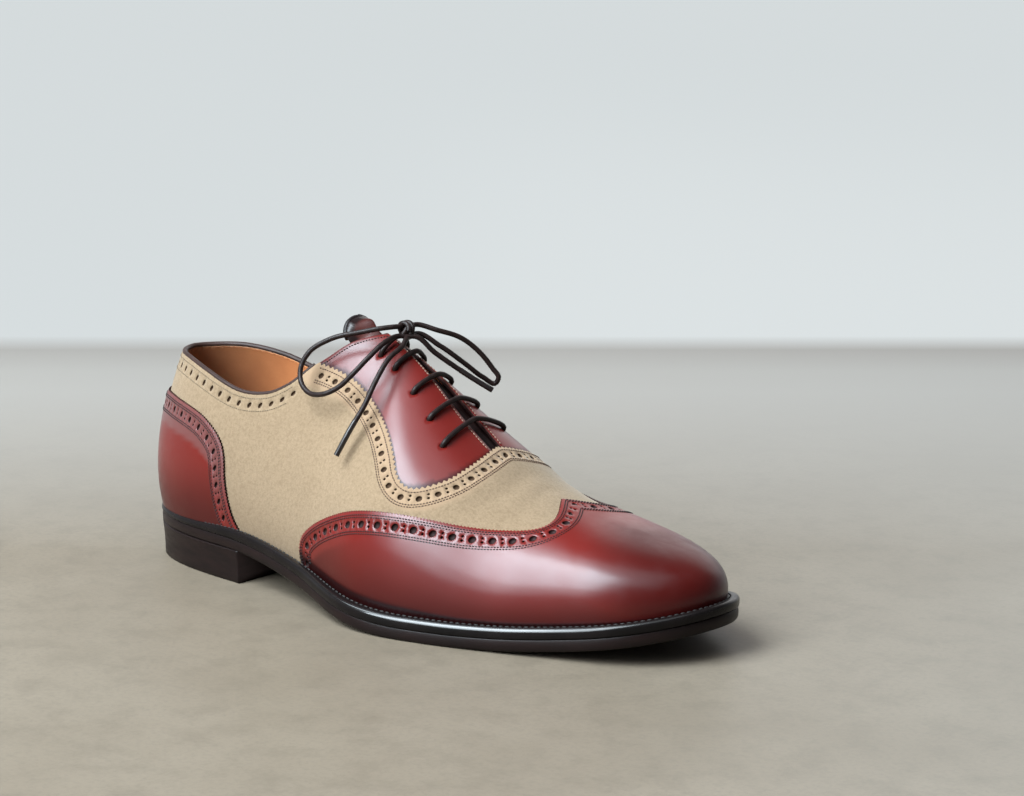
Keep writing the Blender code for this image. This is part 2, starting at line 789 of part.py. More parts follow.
def make_knot():
    """The bow's knot, over the top bar."""
    bpy.ops.mesh.primitive_uv_sphere_add(segments=14, ring_count=8, radius=0.5, location=knot_centre())
    knot = bpy.context.object
    knot.name = "lace_knot"
    knot.data.name = "lace_knot"
    knot.scale = (KNOT_LENGTH, KNOT_WIDTH, KNOT_HEIGHT)
    bpy.ops.object.transform_apply(location=False, rotation=False, scale=True)
    knot.data.materials.append(lace_brown)
    for holder in list(knot.users_collection):
        holder.objects.unlink(knot)
    shoe.objects.link(knot)


def make_bow():
    """Loops and ends of the bow, free of the knot and of the upper."""
    spacing = 2.5 * LACE_DIAMETER
    for name, route in (
        ("lace_loop_lateral", LOOP_LATERAL),
        ("lace_loop_medial", LOOP_MEDIAL),
        ("lace_end_lateral", END_LATERAL),
        ("lace_end_medial", END_MEDIAL),
    ):
        tube(name, smooth_route(route, spacing), LACE_DIAMETER, lace_brown)


for stale in list(bpy.data.objects):
    bpy.data.objects.remove(stale)

shoe = bpy.data.collections.new("spectator_shoe")
bpy.context.scene.collection.children.link(shoe)

suede = make_material("suede")
oxblood = make_material("oxblood")
sole_black = make_material("sole_black")
welt_black = make_material("welt_black")
lining_tan = make_material("lining_tan")
lace_brown = make_material("lace_brown")
dark_edge = make_material("dark_edge")

make_upper()
make_facing("facing_lateral", LATERAL, SLIT_LATERAL, SLIT_LATERAL_TOP)
make_facing("facing_medial", MEDIAL, SLIT_MEDIAL, SLIT_MEDIAL_TOP)
make_wing_cap()
make_heel_counter()
make_tongue()
make_insole()
make_welt()
make_outsole()
make_heel()
make_binding()
make_lace_bars()
make_knot()
make_bow()
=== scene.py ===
"""Spectator wingtip oxford, right shoe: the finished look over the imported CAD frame.

Frame: metres, +X to the toe, +Y to the inner (medial) side, +Z up. The pieces of the upper are
stretches of the same last as in the CAD source, here with punched holes, gimped edges, stitches
and soft creases.
"""

import math

import bpy
import numpy as np
from mathutils import Matrix, Vector
from mathutils.geometry import delaunay_2d_cdt
from mathutils.kdtree import KDTree


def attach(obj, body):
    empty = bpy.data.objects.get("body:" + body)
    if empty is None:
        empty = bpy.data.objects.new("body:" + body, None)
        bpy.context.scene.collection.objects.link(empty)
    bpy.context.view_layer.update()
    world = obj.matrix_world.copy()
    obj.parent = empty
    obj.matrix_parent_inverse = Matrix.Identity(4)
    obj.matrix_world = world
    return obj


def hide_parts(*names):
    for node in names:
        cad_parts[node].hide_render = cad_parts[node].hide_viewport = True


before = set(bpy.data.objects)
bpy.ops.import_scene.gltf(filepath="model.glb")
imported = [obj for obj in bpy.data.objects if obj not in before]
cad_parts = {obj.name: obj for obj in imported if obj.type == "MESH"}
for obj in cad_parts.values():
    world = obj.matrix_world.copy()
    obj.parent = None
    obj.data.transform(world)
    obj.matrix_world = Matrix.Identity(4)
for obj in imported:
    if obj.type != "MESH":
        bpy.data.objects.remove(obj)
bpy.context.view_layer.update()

# Camera of the photograph
CAMERA_AZIMUTH = 40.0306
CAMERA_ELEVATION = 12.1545
CAMERA_DISTANCE = 1.4039
CAMERA_AIM = (0.0329, 0.1489, 0.05)
CAMERA_FOCAL_PIXELS = 2966.5
IMAGE_WIDTH = 1024
SENSOR_WIDTH = 36.0

# Last: the form that the upper is drawn over
LAST_LENGTH = 0.29
BALL_WIDTH = 0.094
INSTEP_HEIGHT = 0.108

# Bottom
HEEL_LENGTH = 0.075
HEEL_HEIGHT = 0.0142
HEEL_TAPER = 0.0008
OUTSOLE_THICKNESS = 0.005
WELT_THICKNESS = 0.0027
WELT_STEP = 0.0004
SOLE_BEVEL = 0.0008
LEDGE_WIDTH = 0.0076
TOE_SPRING = 0.0115
INSOLE_RISE = 0.0012

# Upper and its pieces
UPPER_WALL = 0.0022
OVERLAY_THICKNESS = 0.001
FACING_WALL = 0.0016
FACING_DROP = 0.0004
TONGUE_WALL = 0.002
CLEARANCE = 0.0003
OVERLAY_CLEARANCE = 0.0004
TONGUE_CLEARANCE = 0.0008

# Lace
LACE_DIAMETER = 0.0022
KNOT_HEIGHT = 0.0075
BOW_UNIT = 0.001

SOLE_STACK = OUTSOLE_THICKNESS + CLEARANCE + WELT_THICKNESS + CLEARANCE
HEEL_RISE = HEEL_HEIGHT + CLEARANCE
MEDIAL = 1.0
LATERAL = -1.0


def table(columns, *rows):
    """Named columns from one row of numbers for each section."""
    return dict(zip(columns.split(), np.array(rows, float).T))


# Feather edge in plan: shares of LAST_LENGTH along, of BALL_WIDTH across
PLAN = table(
    "station medial lateral swing",
    (0.03, 0.195, 0.205, 0), (0.12, 0.332, 0.338, 0), (0.25, 0.33, 0.375, -0.009),
    (0.4, 0.304, 0.43, -0.014), (0.55, 0.43, 0.541, -0.013), (0.66, 0.485, 0.505, -0.004),
    (0.76, 0.474, 0.44, 0.012), (0.86, 0.412, 0.365, 0.038), (0.94, 0.288, 0.286, 0.058),
    (0.985, 0.152, 0.158, 0.075),
)

# Ridge line over the top: height is a share of INSTEP_HEIGHT, shift a share of BALL_WIDTH.
# Behind the throat it closes the last over the open collar.
RIDGE = table(
    "station height shift",
    (0.1, 1.24, 0.005), (0.25, 1.175, 0), (0.36, 1.1, 0.005), (0.42, 1.04, 0.015), (0.5, 0.915, 0.025),
    (0.6, 0.71, 0.027), (0.7, 0.535, 0.037), (0.8, 0.44, 0.042), (0.9, 0.385, 0.06),
)
RIDGE_START = 0.105
RIDGE_END = 0.905

# Ribs from feather to ridge: wall is a share of the rib's height, lean a share of BALL_WIDTH,
# crown a share of the rib's reach in plan
RIB = table(
    "station wall lean_lateral lean_medial crown",
    (0, 0.38, 0.11, 0.11, 0.16), (0.15, 0.52, 0.085, 0.065, 0.24), (0.3, 0.5, 0.056, 0.035, 0.25),
    (0.45, 0.45, 0.085, 0.05, 0.3), (0.6, 0.56, 0.095, 0.087, 0.59), (0.75, 0.53, 0.085, 0.07, 0.565),
    (0.9, 0.7, 0.06, 0.056, 0.68), (1, 0.69, 0.035, 0.035, 0.62),
)

# Width of the welt's ledge outside the feather edge, in shares of LEDGE_WIDTH
LEDGE = table(
    "station width",
    (0, 0.197), (0.2, 0.395), (0.35, 0.592), (0.55, 1), (0.75, 0.842), (1, 0.855),
)

# Profile of the bottom, in shares of LAST_LENGTH: the heel seat is level up to ARCH_START, the tread
# is level between ARCH_END and SPRING_START, and the toe lifts from there
ARCH_START = 0.21
ARCH_END = 0.63
SPRING_START = 0.675

# Edges of the upper's pieces: rise is 0 at the feather edge and 1 at the ridge
COLLAR_EDGE = table(
    "station rise",
    (0, 0.47), (0.035, 0.463), (0.073, 0.45), (0.123, 0.424), (0.166, 0.403), (0.204, 0.393),
    (0.238, 0.401), (0.269, 0.426), (0.292, 0.463), (0.31, 0.506), (0.325, 0.562), (0.335, 0.6),
)
FACING_EDGE = table(
    "station rise",
    (0.335, 0.6), (0.38, 0.622), (0.423, 0.634), (0.466, 0.63), (0.503, 0.615), (0.531, 0.59),
    (0.553, 0.551), (0.569, 0.508), (0.585, 0.488), (0.604, 0.5), (0.627, 0.563), (0.649, 0.672),
    (0.662, 0.835), (0.664, 1),
)
FACING_TOP = table(
    "station rise",
    (0.335, 0.6), (0.351, 0.66), (0.371, 0.755), (0.393, 0.845), (0.405, 0.915), (0.411, 0.97),
)
WING_EDGE = table(
    "station rise",
    (0.398, 0), (0.396, 0.046), (0.402, 0.093), (0.42, 0.138), (0.447, 0.188), (0.48, 0.238),
    (0.515, 0.284), (0.553, 0.327), (0.595, 0.372), (0.642, 0.422), (0.7, 0.492), (0.745, 0.555),
    (0.776, 0.605), (0.801, 0.675), (0.814, 0.765), (0.815, 0.87), (0.806, 1),
)
COUNTER_EDGE = table(
    "station rise",
    (0, 0.345), (0.04, 0.34), (0.082, 0.325), (0.138, 0.298), (0.172, 0.272), (0.198, 0.238),
    (0.211, 0.198), (0.217, 0.142), (0.225, 0.086), (0.236, 0.035), (0.25, 0),
)
TONGUE_EDGE = table(
    "station rise",
    (0.342, 1), (0.341, 0.93), (0.343, 0.86), (0.351, 0.79), (0.372, 0.752), (0.42, 0.74), (0.5, 0.735),
    (0.6, 0.74), (0.68, 0.76), (0.705, 0.8), (0.712, 0.88), (0.713, 1),
)

# Slit between the two facings, as shares from the ridge to the feather edge
SLIT_LATERAL = 0.045
SLIT_MEDIAL = 0.03
SLIT_LATERAL_TOP = 0.01
SLIT_MEDIAL_TOP = 0.125

# Lace bars across the slit, reaching as far down each facing, in shares from the ridge to the feather
BARS = table(
    "station reach",
    (0.432, 0.19), (0.468, 0.185), (0.52, 0.185), (0.567, 0.196), (0.608, 0.235),
)
KNOT_STATION = 0.435

# Free lace of the bow: routes of loops and ends from the knot's centre, in steps of BOW_UNIT
LOOP_LATERAL = (
    (-0.9, -4.1, 1.6), (-3.9, -9.1, 1.4), (-11.9, -15.1, -0.5), (-22.8, -22.1, -3.8), (-29.6, -28.1, -9.5),
    (-31.2, -31.1, -15.2), (-28.9, -33.6, -21.0), (-23.1, -35.1, -24.5), (-15.2, -35.1, -24.1),
    (-8.4, -32.1, -20.4), (-4.2, -29.1, -15.5), (-1.1, -22.1, -8.8), (0.1, -13.1, -3.5), (0.0, -3.7, -2.3),
)
LOOP_MEDIAL = (
    (1.2, 4.5, 1.5), (7.7, 10.9, -1.0), (13.5, 18.9, -4.6), (18.5, 25.9, -11.6), (21.9, 29.9, -18.4),
    (24.0, 31.4, -22.4), (22.7, 30.9, -25.0), (19.3, 26.9, -22.2), (15.1, 19.9, -15.7), (9.2, 11.0, -7.6),
    (2.0, 3.4, -2.2),
)
END_LATERAL = (
    (2.5, -2.3, -3.0), (4.6, -7.5, -5.4), (4.9, -16.0, -9.2), (5.8, -25.1, -17.0), (6.2, -33.1, -26.6),
    (4.0, -39.1, -35.6), (0.7, -44.1, -46.1),
)
END_MEDIAL = (
    (3.9, 1.0, -2.7), (9.6, 7.2, -9.8), (16.5, 15.4, -17.7), (22.3, 21.4, -23.3), (26.1, 24.9, -26.5),
)


def hermite(x, stations, values):
    """A smooth curve through the rows, straight on beyond the first and last."""
    slopes = np.gradient(values, stations)
    inside = np.clip(x, stations[0], stations[-1])
    index = np.clip(np.searchsorted(stations, inside, side="right") - 1, 0, len(stations) - 2)
    step = stations[index + 1] - stations[index]
    t = (inside - stations[index]) / step
    start = (1 + 2 * t) * (1 - t) ** 2 * values[index] + t * (1 - t) ** 2 * step * slopes[index]
    end = t * t * (3 - 2 * t) * values[index + 1] + t * t * (t - 1) * step * slopes[index + 1]
    beyond = np.minimum(x - stations[0], 0) * slopes[0] + np.maximum(x - stations[-1], 0) * slopes[-1]
    return start + end + beyond


def read(rows, column, station):
    """One named column of a table, at any station."""
    return hermite(np.asarray(station, float), rows["station"], rows[column])


def ease(t):
    """Smooth step from 0 to 1."""
    t = np.clip(t, 0.0, 1.0)
    return t * t * (3 - 2 * t)


def station_of(u):
    """Share of the last's length at parameter u, with even steps round the heel and the toe."""
    return (1 - np.cos(math.pi * np.asarray(u, float))) / 2


def u_of(station):
    """Parameter u at a share of the last's length."""
    return np.arccos(np.clip(1 - 2 * np.asarray(station, float), -1.0, 1.0)) / math.pi


def last_x(station):
    """X of a station: the heel's back edge is half a heel behind the origin."""
    return -HEEL_LENGTH / 2 + LEDGE["width"][0] * LEDGE_WIDTH + station * LAST_LENGTH


def bed(station):
    """Height of the feather edge: heel seat, arch, tread and toe spring."""
    fall = ease((station - ARCH_START) / (ARCH_END - ARCH_START))
    spring = np.clip((station - SPRING_START) / (1 - SPRING_START), 0, None) ** 2
    return SOLE_STACK + HEEL_RISE * (1 - fall) + TOE_SPRING * spring


def feather(u, side):
    """Plan point of the feather edge on one side."""
    station = station_of(u)
    roundness = np.sqrt(np.clip(station * (1 - station), 0, None))
    inside = np.clip(station, PLAN["station"][0], PLAN["station"][-1])
    row_roundness = np.sqrt(PLAN["station"] * (1 - PLAN["station"]))
    half = np.where(side > 0, *(hermite(inside, PLAN["station"], PLAN[name] / row_roundness)
                                for name in ("medial", "lateral")))
    y = (read(PLAN, "swing", station) + side * half * roundness) * BALL_WIDTH
    return last_x(station), y


def plan_normal(u, side):
    """Unit normal of the feather edge in plan, pointing out."""
    step = 0.001
    before_x, before_y = feather(np.clip(u - step, 0, 1), side)
    after_x, after_y = feather(np.clip(u + step, 0, 1), side)
    run_x = after_x - before_x
    run_y = after_y - before_y
    length = np.hypot(run_x, run_y)
    at_end = (u <= step) | (u >= 1 - step)
    normal_x = np.where(at_end, np.where(u < 0.5, -1.0, 1.0), -side * run_y / length)
    normal_y = np.where(at_end, 0.0, side * run_x / length)
    return normal_x, normal_y


def ridge(station):
    """Point of the ridge line at its own station."""
    x = last_x(station)
    y = read(RIDGE, "shift", station) * BALL_WIDTH
    z = read(RIDGE, "height", station) * INSTEP_HEIGHT
    return x, y, z


def last_point(u, v):
    """The last's surface: u runs heel to toe, v from -1 (lateral feather) over 0 (ridge) to 1."""
    u, v = np.broadcast_arrays(np.asarray(u, float), np.asarray(v, float))
    side = np.where(v < 0, LATERAL, MEDIAL)
    station = station_of(u)
    foot_x, foot_y = feather(u, side)
    foot_z = bed(station)
    top_station = RIDGE_START + (RIDGE_END - RIDGE_START) * station
    top_x, top_y, top_z = ridge(top_station)
    nudge = 0.001
    slope = (ridge(top_station + nudge)[2] - top_z) / (nudge * LAST_LENGTH)
    normal_x, normal_y = plan_normal(u, side)
    reach = np.hypot(foot_x - top_x, foot_y - top_y)
    along_x = (foot_x - top_x) / reach
    along_y = (foot_y - top_y) / reach
    wall = read(RIB, "wall", station) * (top_z - foot_z)
    lean = np.where(v < 0, read(RIB, "lean_lateral", station), read(RIB, "lean_medial", station)) * BALL_WIDTH
    crown = read(RIB, "crown", station) * reach
    foot = np.stack([foot_x, foot_y, foot_z], -1)
    foot_handle = foot + np.stack([normal_x * lean, normal_y * lean, wall], -1)
    top = np.stack([top_x, top_y, top_z], -1)
    top_handle = top + np.stack([along_x, along_y, slope * along_x], -1) * crown[..., None]
    t = (1 - np.abs(v))[..., None]
    rib = (1 - t) ** 3 * foot + 3 * (1 - t) ** 2 * t * foot_handle
    return rib + 3 * (1 - t) * t * t * top_handle + t ** 3 * top


def slopes_at(u, v):
    """Rates of change of the surface along u and v, kept off the seams where they vanish."""
    step = 0.002
    u = np.clip(u, 2 * step, 1 - 2 * step)
    v = np.where(v < 0, -1.0, 1.0) * np.clip(np.abs(v), 2 * step, 1 - 2 * step)
    along_u = (last_point(u + step, v) - last_point(u - step, v)) / (2 * step)
    along_v = (last_point(u, v + step) - last_point(u, v - step)) / (2 * step)
    return along_u, along_v


def last_normal(u, v):
    """Outward unit normal of the last. On the heel and toe centre lines both sides share one."""
    u, v = np.broadcast_arrays(np.asarray(u, float), np.asarray(v, float))
    along_u, along_v = slopes_at(u, v)
    normal = np.cross(along_u, along_v)
    normal /= np.linalg.norm(normal, axis=-1, keepdims=True)
    mirror_u, mirror_v = slopes_at(u, -v)
    mirrored = np.cross(mirror_u, mirror_v)
    mirrored /= np.linalg.norm(mirrored, axis=-1, keepdims=True)
    seam = ((u < 1e-6) | (u > 1 - 1e-6) | (np.abs(v) < 1e-6))[..., None]
    shared = normal + mirrored
    shared /= np.linalg.norm(shared, axis=-1, keepdims=True)
    return np.where(seam, shared, normal)


def on_last(u, v, offset=0.0):
    """Points at a height above the last's surface."""
    return last_point(u, v) + last_normal(u, v) * offset


def edge_line(rows, side, count):
    """(u, v) points along a piece's edge, evenly spaced over the surface on a smooth chart."""
    order = np.arange(len(rows["station"]), dtype=float)
    fine = np.linspace(0, order[-1], 600)
    u = np.clip(hermite(fine, order, u_of(rows["station"])), 0, 1)
    v = side * (1 - np.clip(hermite(fine, order, rows["rise"]), 0, 1))
    length = lengths(last_point(u, v))
    even = np.linspace(0, length[-1], count)
    return np.stack([np.interp(even, length, u), np.interp(even, length, v)], -1)


def pushed(line, run, distances):
    """A line moved over the surface to the left of its run, seen from outside, by distances in metres."""
    sideways = np.cross(last_normal(*line.T), run)
    sideways *= np.reshape(distances / np.linalg.norm(sideways, axis=1), (-1, 1))
    along_u, along_v = slopes_at(*line.T)
    uu, uv, vv = (along_u ** 2).sum(1), (along_u * along_v).sum(1), (along_v ** 2).sum(1)
    push_u, push_v = (along_u * sideways).sum(1), (along_v * sideways).sum(1)
    spread = uu * vv - uv * uv
    out = line.copy()
    out[:, 0] = np.clip(out[:, 0] + (push_u * vv - push_v * uv) / spread, 0, 1)
    out[:, 1] += (push_v * uu - push_u * uv) / spread
    return out


def joined(*lines):
    """One outline from lines laid end to end, without doubled corners."""
    chain = []
    for line in lines:
        for point in line:
            if not chain or np.hypot(*(np.asarray(point) - chain[-1])) > 1e-6:
                chain.append(np.asarray(point, float))
    if np.hypot(*(chain[0] - chain[-1])) < 1e-6:
        chain.pop()
    return np.array(chain)


# Chart of the last in near-true size, for even meshes: metres per unit of u and of v
CHART = np.array([0.43, 0.098])

# Steps of the meshes, in metres, and how near a grid point may come to a fixed one, in steps
STEP_SUEDE = 0.0017
STEP_LEATHER = 0.0015
ROW_RISE = 0.87
GRID_GAP = 0.55

# How far extra rows keep from an outline and from a hole's rim, and the grid from a hole's centre
EDGE_GAP = 0.00022
RIM_GAP = 0.00045
CENTRE_GAP = 0.0016

# Holes: the rim is wider than the hole, its lip is a share of the rim and a depth, its floor a share
RIM_EXTRA = 0.00012
RIM_POINTS, SMALL_RIM_POINTS = 12, 7
HOLE_LIP = (0.94, 0.00014)
HOLE_FLOOR = 0.9

# Gimped edges: pitch and depth of the teeth, finer on the wing cap and counter than on the facings' band
GIMP_PITCH = 0.00145
GIMP_DEPTH = 0.00062
BAND_PITCH = 0.0024
BAND_DEPTH = 0.0011

# Brogue pattern, measured from a piece's edge in metres
WING_ROWS = (0.0013, 0.0023, 0.0079, 0.0089)
WING_HOLES = 0.0051
WING_PITCH = 0.0084
COUNTER_ROWS = (0.0012, 0.0021, 0.0074, 0.0083)
COUNTER_HOLES = 0.0047
COUNTER_PITCH = 0.0072
FACING_ROWS = (0.0013, 0.0068, 0.0078)
FACING_HOLES = 0.0043
FACING_PITCH = 0.008
COLLAR_ROWS = (0.0018, 0.0072)
COLLAR_HOLES = 0.0047
COLLAR_PITCH = 0.0062
WING_HOLE = 0.00158
COUNTER_HOLE = 0.00138
FACING_HOLE = 0.00134
COLLAR_HOLE = 0.00134
EYELET_HOLE = 0.00125
SMALL_HOLE = 0.00052
SMALL_OFFSET = 0.0009
HOLE_GAP = 0.0006

# Ovals behind a station, rounder holes in front: width as a share of the height, and slant
OVAL_BEFORE = 0.33
OVAL, ROUND = (0.66, 0.3), (0.92, 0.12)

# Stitches, and the steps in which lines are moved and drawn
STITCH_PITCH = 0.00128
STITCH_WIDTH = 0.0005
STITCH_LEVEL = 0.00012
STITCH_SHARE = 0.36
MOVE_STEP = 0.0008
LINE_STEP = 0.0012

# Soft creases of wear, each a trough with a low ridge beside it: points as station and v, then
# depth and width in metres
CREASES = (
    (((0.655, -0.62), (0.7, -0.4), (0.725, -0.12), (0.722, 0.15)), 0.0003, 0.0042),
    (((0.69, -0.6), (0.742, -0.36), (0.768, -0.08), (0.762, 0.18)), 0.00022, 0.0036),
    (((0.64, 0.66), (0.69, 0.46), (0.715, 0.22)), 0.00026, 0.004),
    (((0.47, -0.84), (0.52, -0.7), (0.545, -0.62)), 0.00022, 0.005),
    (((0.3, -0.62), (0.345, -0.72), (0.37, -0.84)), 0.00028, 0.006),
    (((0.29, 0.64), (0.335, 0.74), (0.365, 0.86)), 0.00028, 0.006),
)
CREASE_SWELL = 0.45
CREASE_RIDGE = 1.9
CREASE_FADE = 0.25


def plug(made, inputs):
    """Values or links for a node's sockets."""
    for key, value in inputs.items():
        if isinstance(value, bpy.types.NodeSocket):
            made.id_data.links.new(value, made.inputs[key])
        else:
            made.inputs[key].default_value = value


def node(tree, kind, inputs=None, **settings):
    """One node with its settings, and values or links for its sockets."""
    made = tree.nodes.new(kind)
    for key, value in settings.items():
        setattr(made, key, value)
    plug(made, inputs or {})
    return made


def material(name):
    """A node material, its shader and the place on the object."""
    made = bpy.data.materials.new(name)
    made.use_nodes = True
    tree = made.node_tree
    return made, tree.nodes["Principled BSDF"], node(tree, "ShaderNodeTexCoord").outputs["Object"]


def burnish_and_painted_light_at(where):
    """The mesh's tone at a place: real burnish, painted shade and painted highlight."""
    return node(where.id_data, "ShaderNodeAttribute", attribute_name="burnish_and_painted_light").outputs["Fac"]


def noise(where, scale, detail=3.0, rough=0.55, stretch=None):
    """Fractal noise at a scale in repeats per metre."""
    tree = where.id_data
    if stretch:
        where = node(tree, "ShaderNodeMapping", {"Vector": where, "Scale": stretch}).outputs[0]
    return node(tree, "ShaderNodeTexNoise", {
        "Vector": where, "Scale": scale, "Detail": detail, "Roughness": rough}).outputs[0]


def ramp(value, low, high, start=0.35, end=0.65):
    """A number mapped from start-end to low-high."""
    return node(value.id_data, "ShaderNodeMapRange", {
        "Value": value, "From Min": start, "From Max": end, "To Min": low, "To Max": high}).outputs[0]


def maths(operation, first, *second):
    """Arithmetic on numbers."""
    inputs = dict(enumerate((first, *second)))
    return node(first.id_data, "ShaderNodeMath", inputs, operation=operation).outputs[0]


def along(where, direction):
    """Distance along a direction."""
    return node(where.id_data, "ShaderNodeVectorMath", {0: where, 1: direction},
                operation="DOT_PRODUCT").outputs["Value"]


def axes(where):
    """The parts of a vector."""
    return node(where.id_data, "ShaderNodeSeparateXYZ", {0: where}).outputs


def mix(share, first, second):
    """Two colours mixed."""
    first, second = (x if isinstance(x, bpy.types.NodeSocket) else (*x, 1.0) for x in (first, second))
    return node(share.id_data, "ShaderNodeMix", {0: share, 6: first, 7: second}, data_type="RGBA").outputs[2]


def bump(height, strength, distance, under=None):
    """A bump layer over another."""
    inputs = {"Height": height, "Strength": strength, "Distance": distance}
    if under is not None:
        inputs["Normal"] = under
    return node(height.id_data, "ShaderNodeBump", inputs).outputs[0]


def worn_and_painted_light(colour, burnish_and_painted_light, dark, pale):
    """A colour turned dark where the tone is positive, for burnish and painted shade, and pale where it is
    negative, for painted highlight and paler bands.
    """
    colour = mix(ramp(burnish_and_painted_light, 0.0, 1.0, 0.0, 1.0), colour, dark)
    return mix(ramp(burnish_and_painted_light, 1.0, 0.0, -1.0, 0.0), colour, pale)


def calf(name, light, deep, dark, pale, rough, coat, coat_rough, wave):
    """Polished calf: dark where burnished and where shade is painted, pale where a highlight is painted, by
    the tone attribute, with less coat where dark; fine grain, slow waves in the gloss.
    """
    made, shader, where = material(name)
    burnish_and_painted_light = burnish_and_painted_light_at(where)
    colour = mix(ramp(noise(where, 30.0, 1.0), 0.0, 0.7), light, deep)
    pores = noise(where, 1100.0, 2.0)
    colour = mix(ramp(pores, 0.0, 0.12), colour, deep)
    waves = bump(noise(where, 70.0, 2.0), wave, 0.001)
    plug(shader, {
        "Base Color": worn_and_painted_light(colour, burnish_and_painted_light, dark, pale),
        "Roughness": ramp(noise(where, 130.0, 3.0), rough - 0.03, rough + 0.05),
        "Normal": bump(pores, 0.14, 0.00006, waves),
        "Specular IOR Level": 0.26, "Specular Tint": (0.66, 0.94, 1.0, 1.0),
        "Coat Weight": ramp(burnish_and_painted_light, coat, 0.05, 0.12, 0.75), "Coat Roughness": coat_rough})
    return made


def nap(name, light, deep, dark_tan, pale):
    """Suede: fine even nap with faint brushed patches and a soft sheen."""
    made, shader, where = material(name)
    burnish_and_painted_light = burnish_and_painted_light_at(where)
    brushed = noise(where, 48.0, 2.0, 0.5)
    fibre = noise(where, 1250.0, 3.0, 0.7)
    fleck = noise(where, 760.0, 3.0, 0.7)
    colour = mix(ramp(brushed, 0.0, 0.3), light, deep)
    colour = mix(ramp(fibre, 0.0, 0.65), colour, deep)
    colour = mix(ramp(fleck, 0.0, 0.46, 0.44, 0.66), colour, dark_tan)
    flecked = bump(fleck, 0.5, 0.00022, bump(brushed, 0.15, 0.0005))
    plug(shader, {
        "Base Color": worn_and_painted_light(colour, burnish_and_painted_light, dark_tan, pale), "Normal": bump(fibre, 0.6, 0.00016, flecked),
        "Roughness": 0.95, "Specular IOR Level": 0.12, "Sheen Weight": 0.25, "Sheen Roughness": 0.45,
        "Sheen Tint": (1.0, 0.93, 0.82, 1.0)})
    return made


def plain_leather(name, light, deep, rough, grain_scale=900.0, coat=0.0, coat_rough=0.18, stretch=None,
                  specular=0.25):
    """Edge and sole leather: two tones, fine grain, uneven gloss."""
    made, shader, where = material(name)
    patches = noise(where, 55.0, 4.0, 0.6, stretch)
    grain = noise(where, grain_scale, 3.0, 0.6, stretch)
    colour = mix(ramp(patches, 0.0, 1.0), light, deep)
    plug(shader, {
        "Base Color": mix(ramp(grain, 0.0, 0.25), colour, deep),
        "Roughness": ramp(patches, rough - 0.05, rough + 0.08), "Normal": bump(grain, 0.3, 0.0001),
        "Specular IOR Level": specular, "Coat Weight": coat, "Coat Roughness": coat_rough})
    return made


def lined(name, light, deep, dark, seam_x):
    """Lining calf: warm in front, painted shade darker at the heel, with the quarter lining's seam."""
    made, shader, where = material(name)
    x = axes(where)["X"]
    patches = noise(where, 55.0, 4.0, 0.6)
    grain = noise(where, 900.0, 3.0, 0.6)
    colour = mix(ramp(patches, 0.0, 1.0), light, deep)
    colour = mix(ramp(grain, 0.0, 0.3), colour, deep)
    # Painted shade: darker towards the heel
    colour = mix(ramp(x, 0.94, 0.0, -0.032, 0.01), colour, dark)
    off_seam = maths("ABSOLUTE", maths("SUBTRACT", x, seam_x))
    seam = bump(ramp(off_seam, 0.0, 1.0, 0.0002, 0.001), 0.8, 0.0004)
    plug(shader, {
        "Base Color": mix(ramp(off_seam, 0.75, 0.0, 0.0002, 0.0007), colour, dark),
        "Roughness": ramp(patches, 0.42, 0.55), "Normal": bump(grain, 0.35, 0.0001, seam)})
    return made


def dark_tongue(name, light, deep, dark):
    """Tongue leather: reddish above the facings, painted shade nearly black where the slit shows it."""
    made, shader, where = material(name)
    burnish_and_painted_light = burnish_and_painted_light_at(where)
    patches = noise(where, 60.0, 4.0)
    colour = mix(ramp(patches, 0.0, 1.0), light, deep)
    plug(shader, {
        "Base Color": mix(burnish_and_painted_light, colour, dark), "Roughness": ramp(patches, 0.3, 0.42),
        "Normal": bump(noise(where, 800.0, 3.0), 0.35, 0.0001),
        "Coat Weight": 0.16, "Coat Roughness": 0.22, "Specular IOR Level": 0.25})
    return made


def thread(name, light, deep, rough=0.6, twist=2600.0, specular=0.5):
    """Thread or waxed lace: twisted fibres by fine bands of tone."""
    made, shader, where = material(name)
    bands = node(where.id_data, "ShaderNodeTexWave", {
        "Vector": where, "Scale": twist / 20.0, "Distortion": 2.5, "Detail": 2.0, "Detail Scale": 6.0},
        bands_direction="DIAGONAL").outputs[1]
    fibre = noise(where, twist, 2.0)
    colour = mix(ramp(bands, 0.0, 0.6, 0.2, 0.8), light, deep)
    plug(shader, {
        "Base Color": mix(ramp(fibre, 0.0, 0.4), colour, deep),
        "Roughness": ramp(fibre, rough - 0.1, rough + 0.1), "Specular IOR Level": specular,
        "Normal": bump(fibre, 0.3, 0.0001, bump(bands, 0.25, 0.00015))})
    return made


RED = calf("oxblood_calf", (0.134, 0.009, 0.0062), (0.108, 0.0069, 0.0048), (0.01, 0.0015, 0.0015),
           (0.125, 0.059, 0.055), 0.36, 0.44, 0.25, 0.1)
RED_INSIDE = plain_leather("oxblood_raw_edge", (0.0305, 0.0085, 0.0061), (0.0152, 0.0043, 0.0037), 0.6)
SUEDE = nap("tan_suede", (0.264, 0.189, 0.12), (0.202, 0.142, 0.088), (0.145, 0.096, 0.055),
            (0.29, 0.195, 0.123))
SUEDE_EDGE = plain_leather("suede_raw_edge", (0.24, 0.16, 0.098), (0.17, 0.106, 0.06), 0.85)
# Holes' walls and floors are dark as painted shade inside the punched holes
HOLE_TAN = plain_leather("punched_tan", (0.075, 0.041, 0.021), (0.045, 0.024, 0.013), 0.85)
HOLE_RED = plain_leather("punched_oxblood", (0.021, 0.0052, 0.0045), (0.01, 0.003, 0.0028), 0.7)
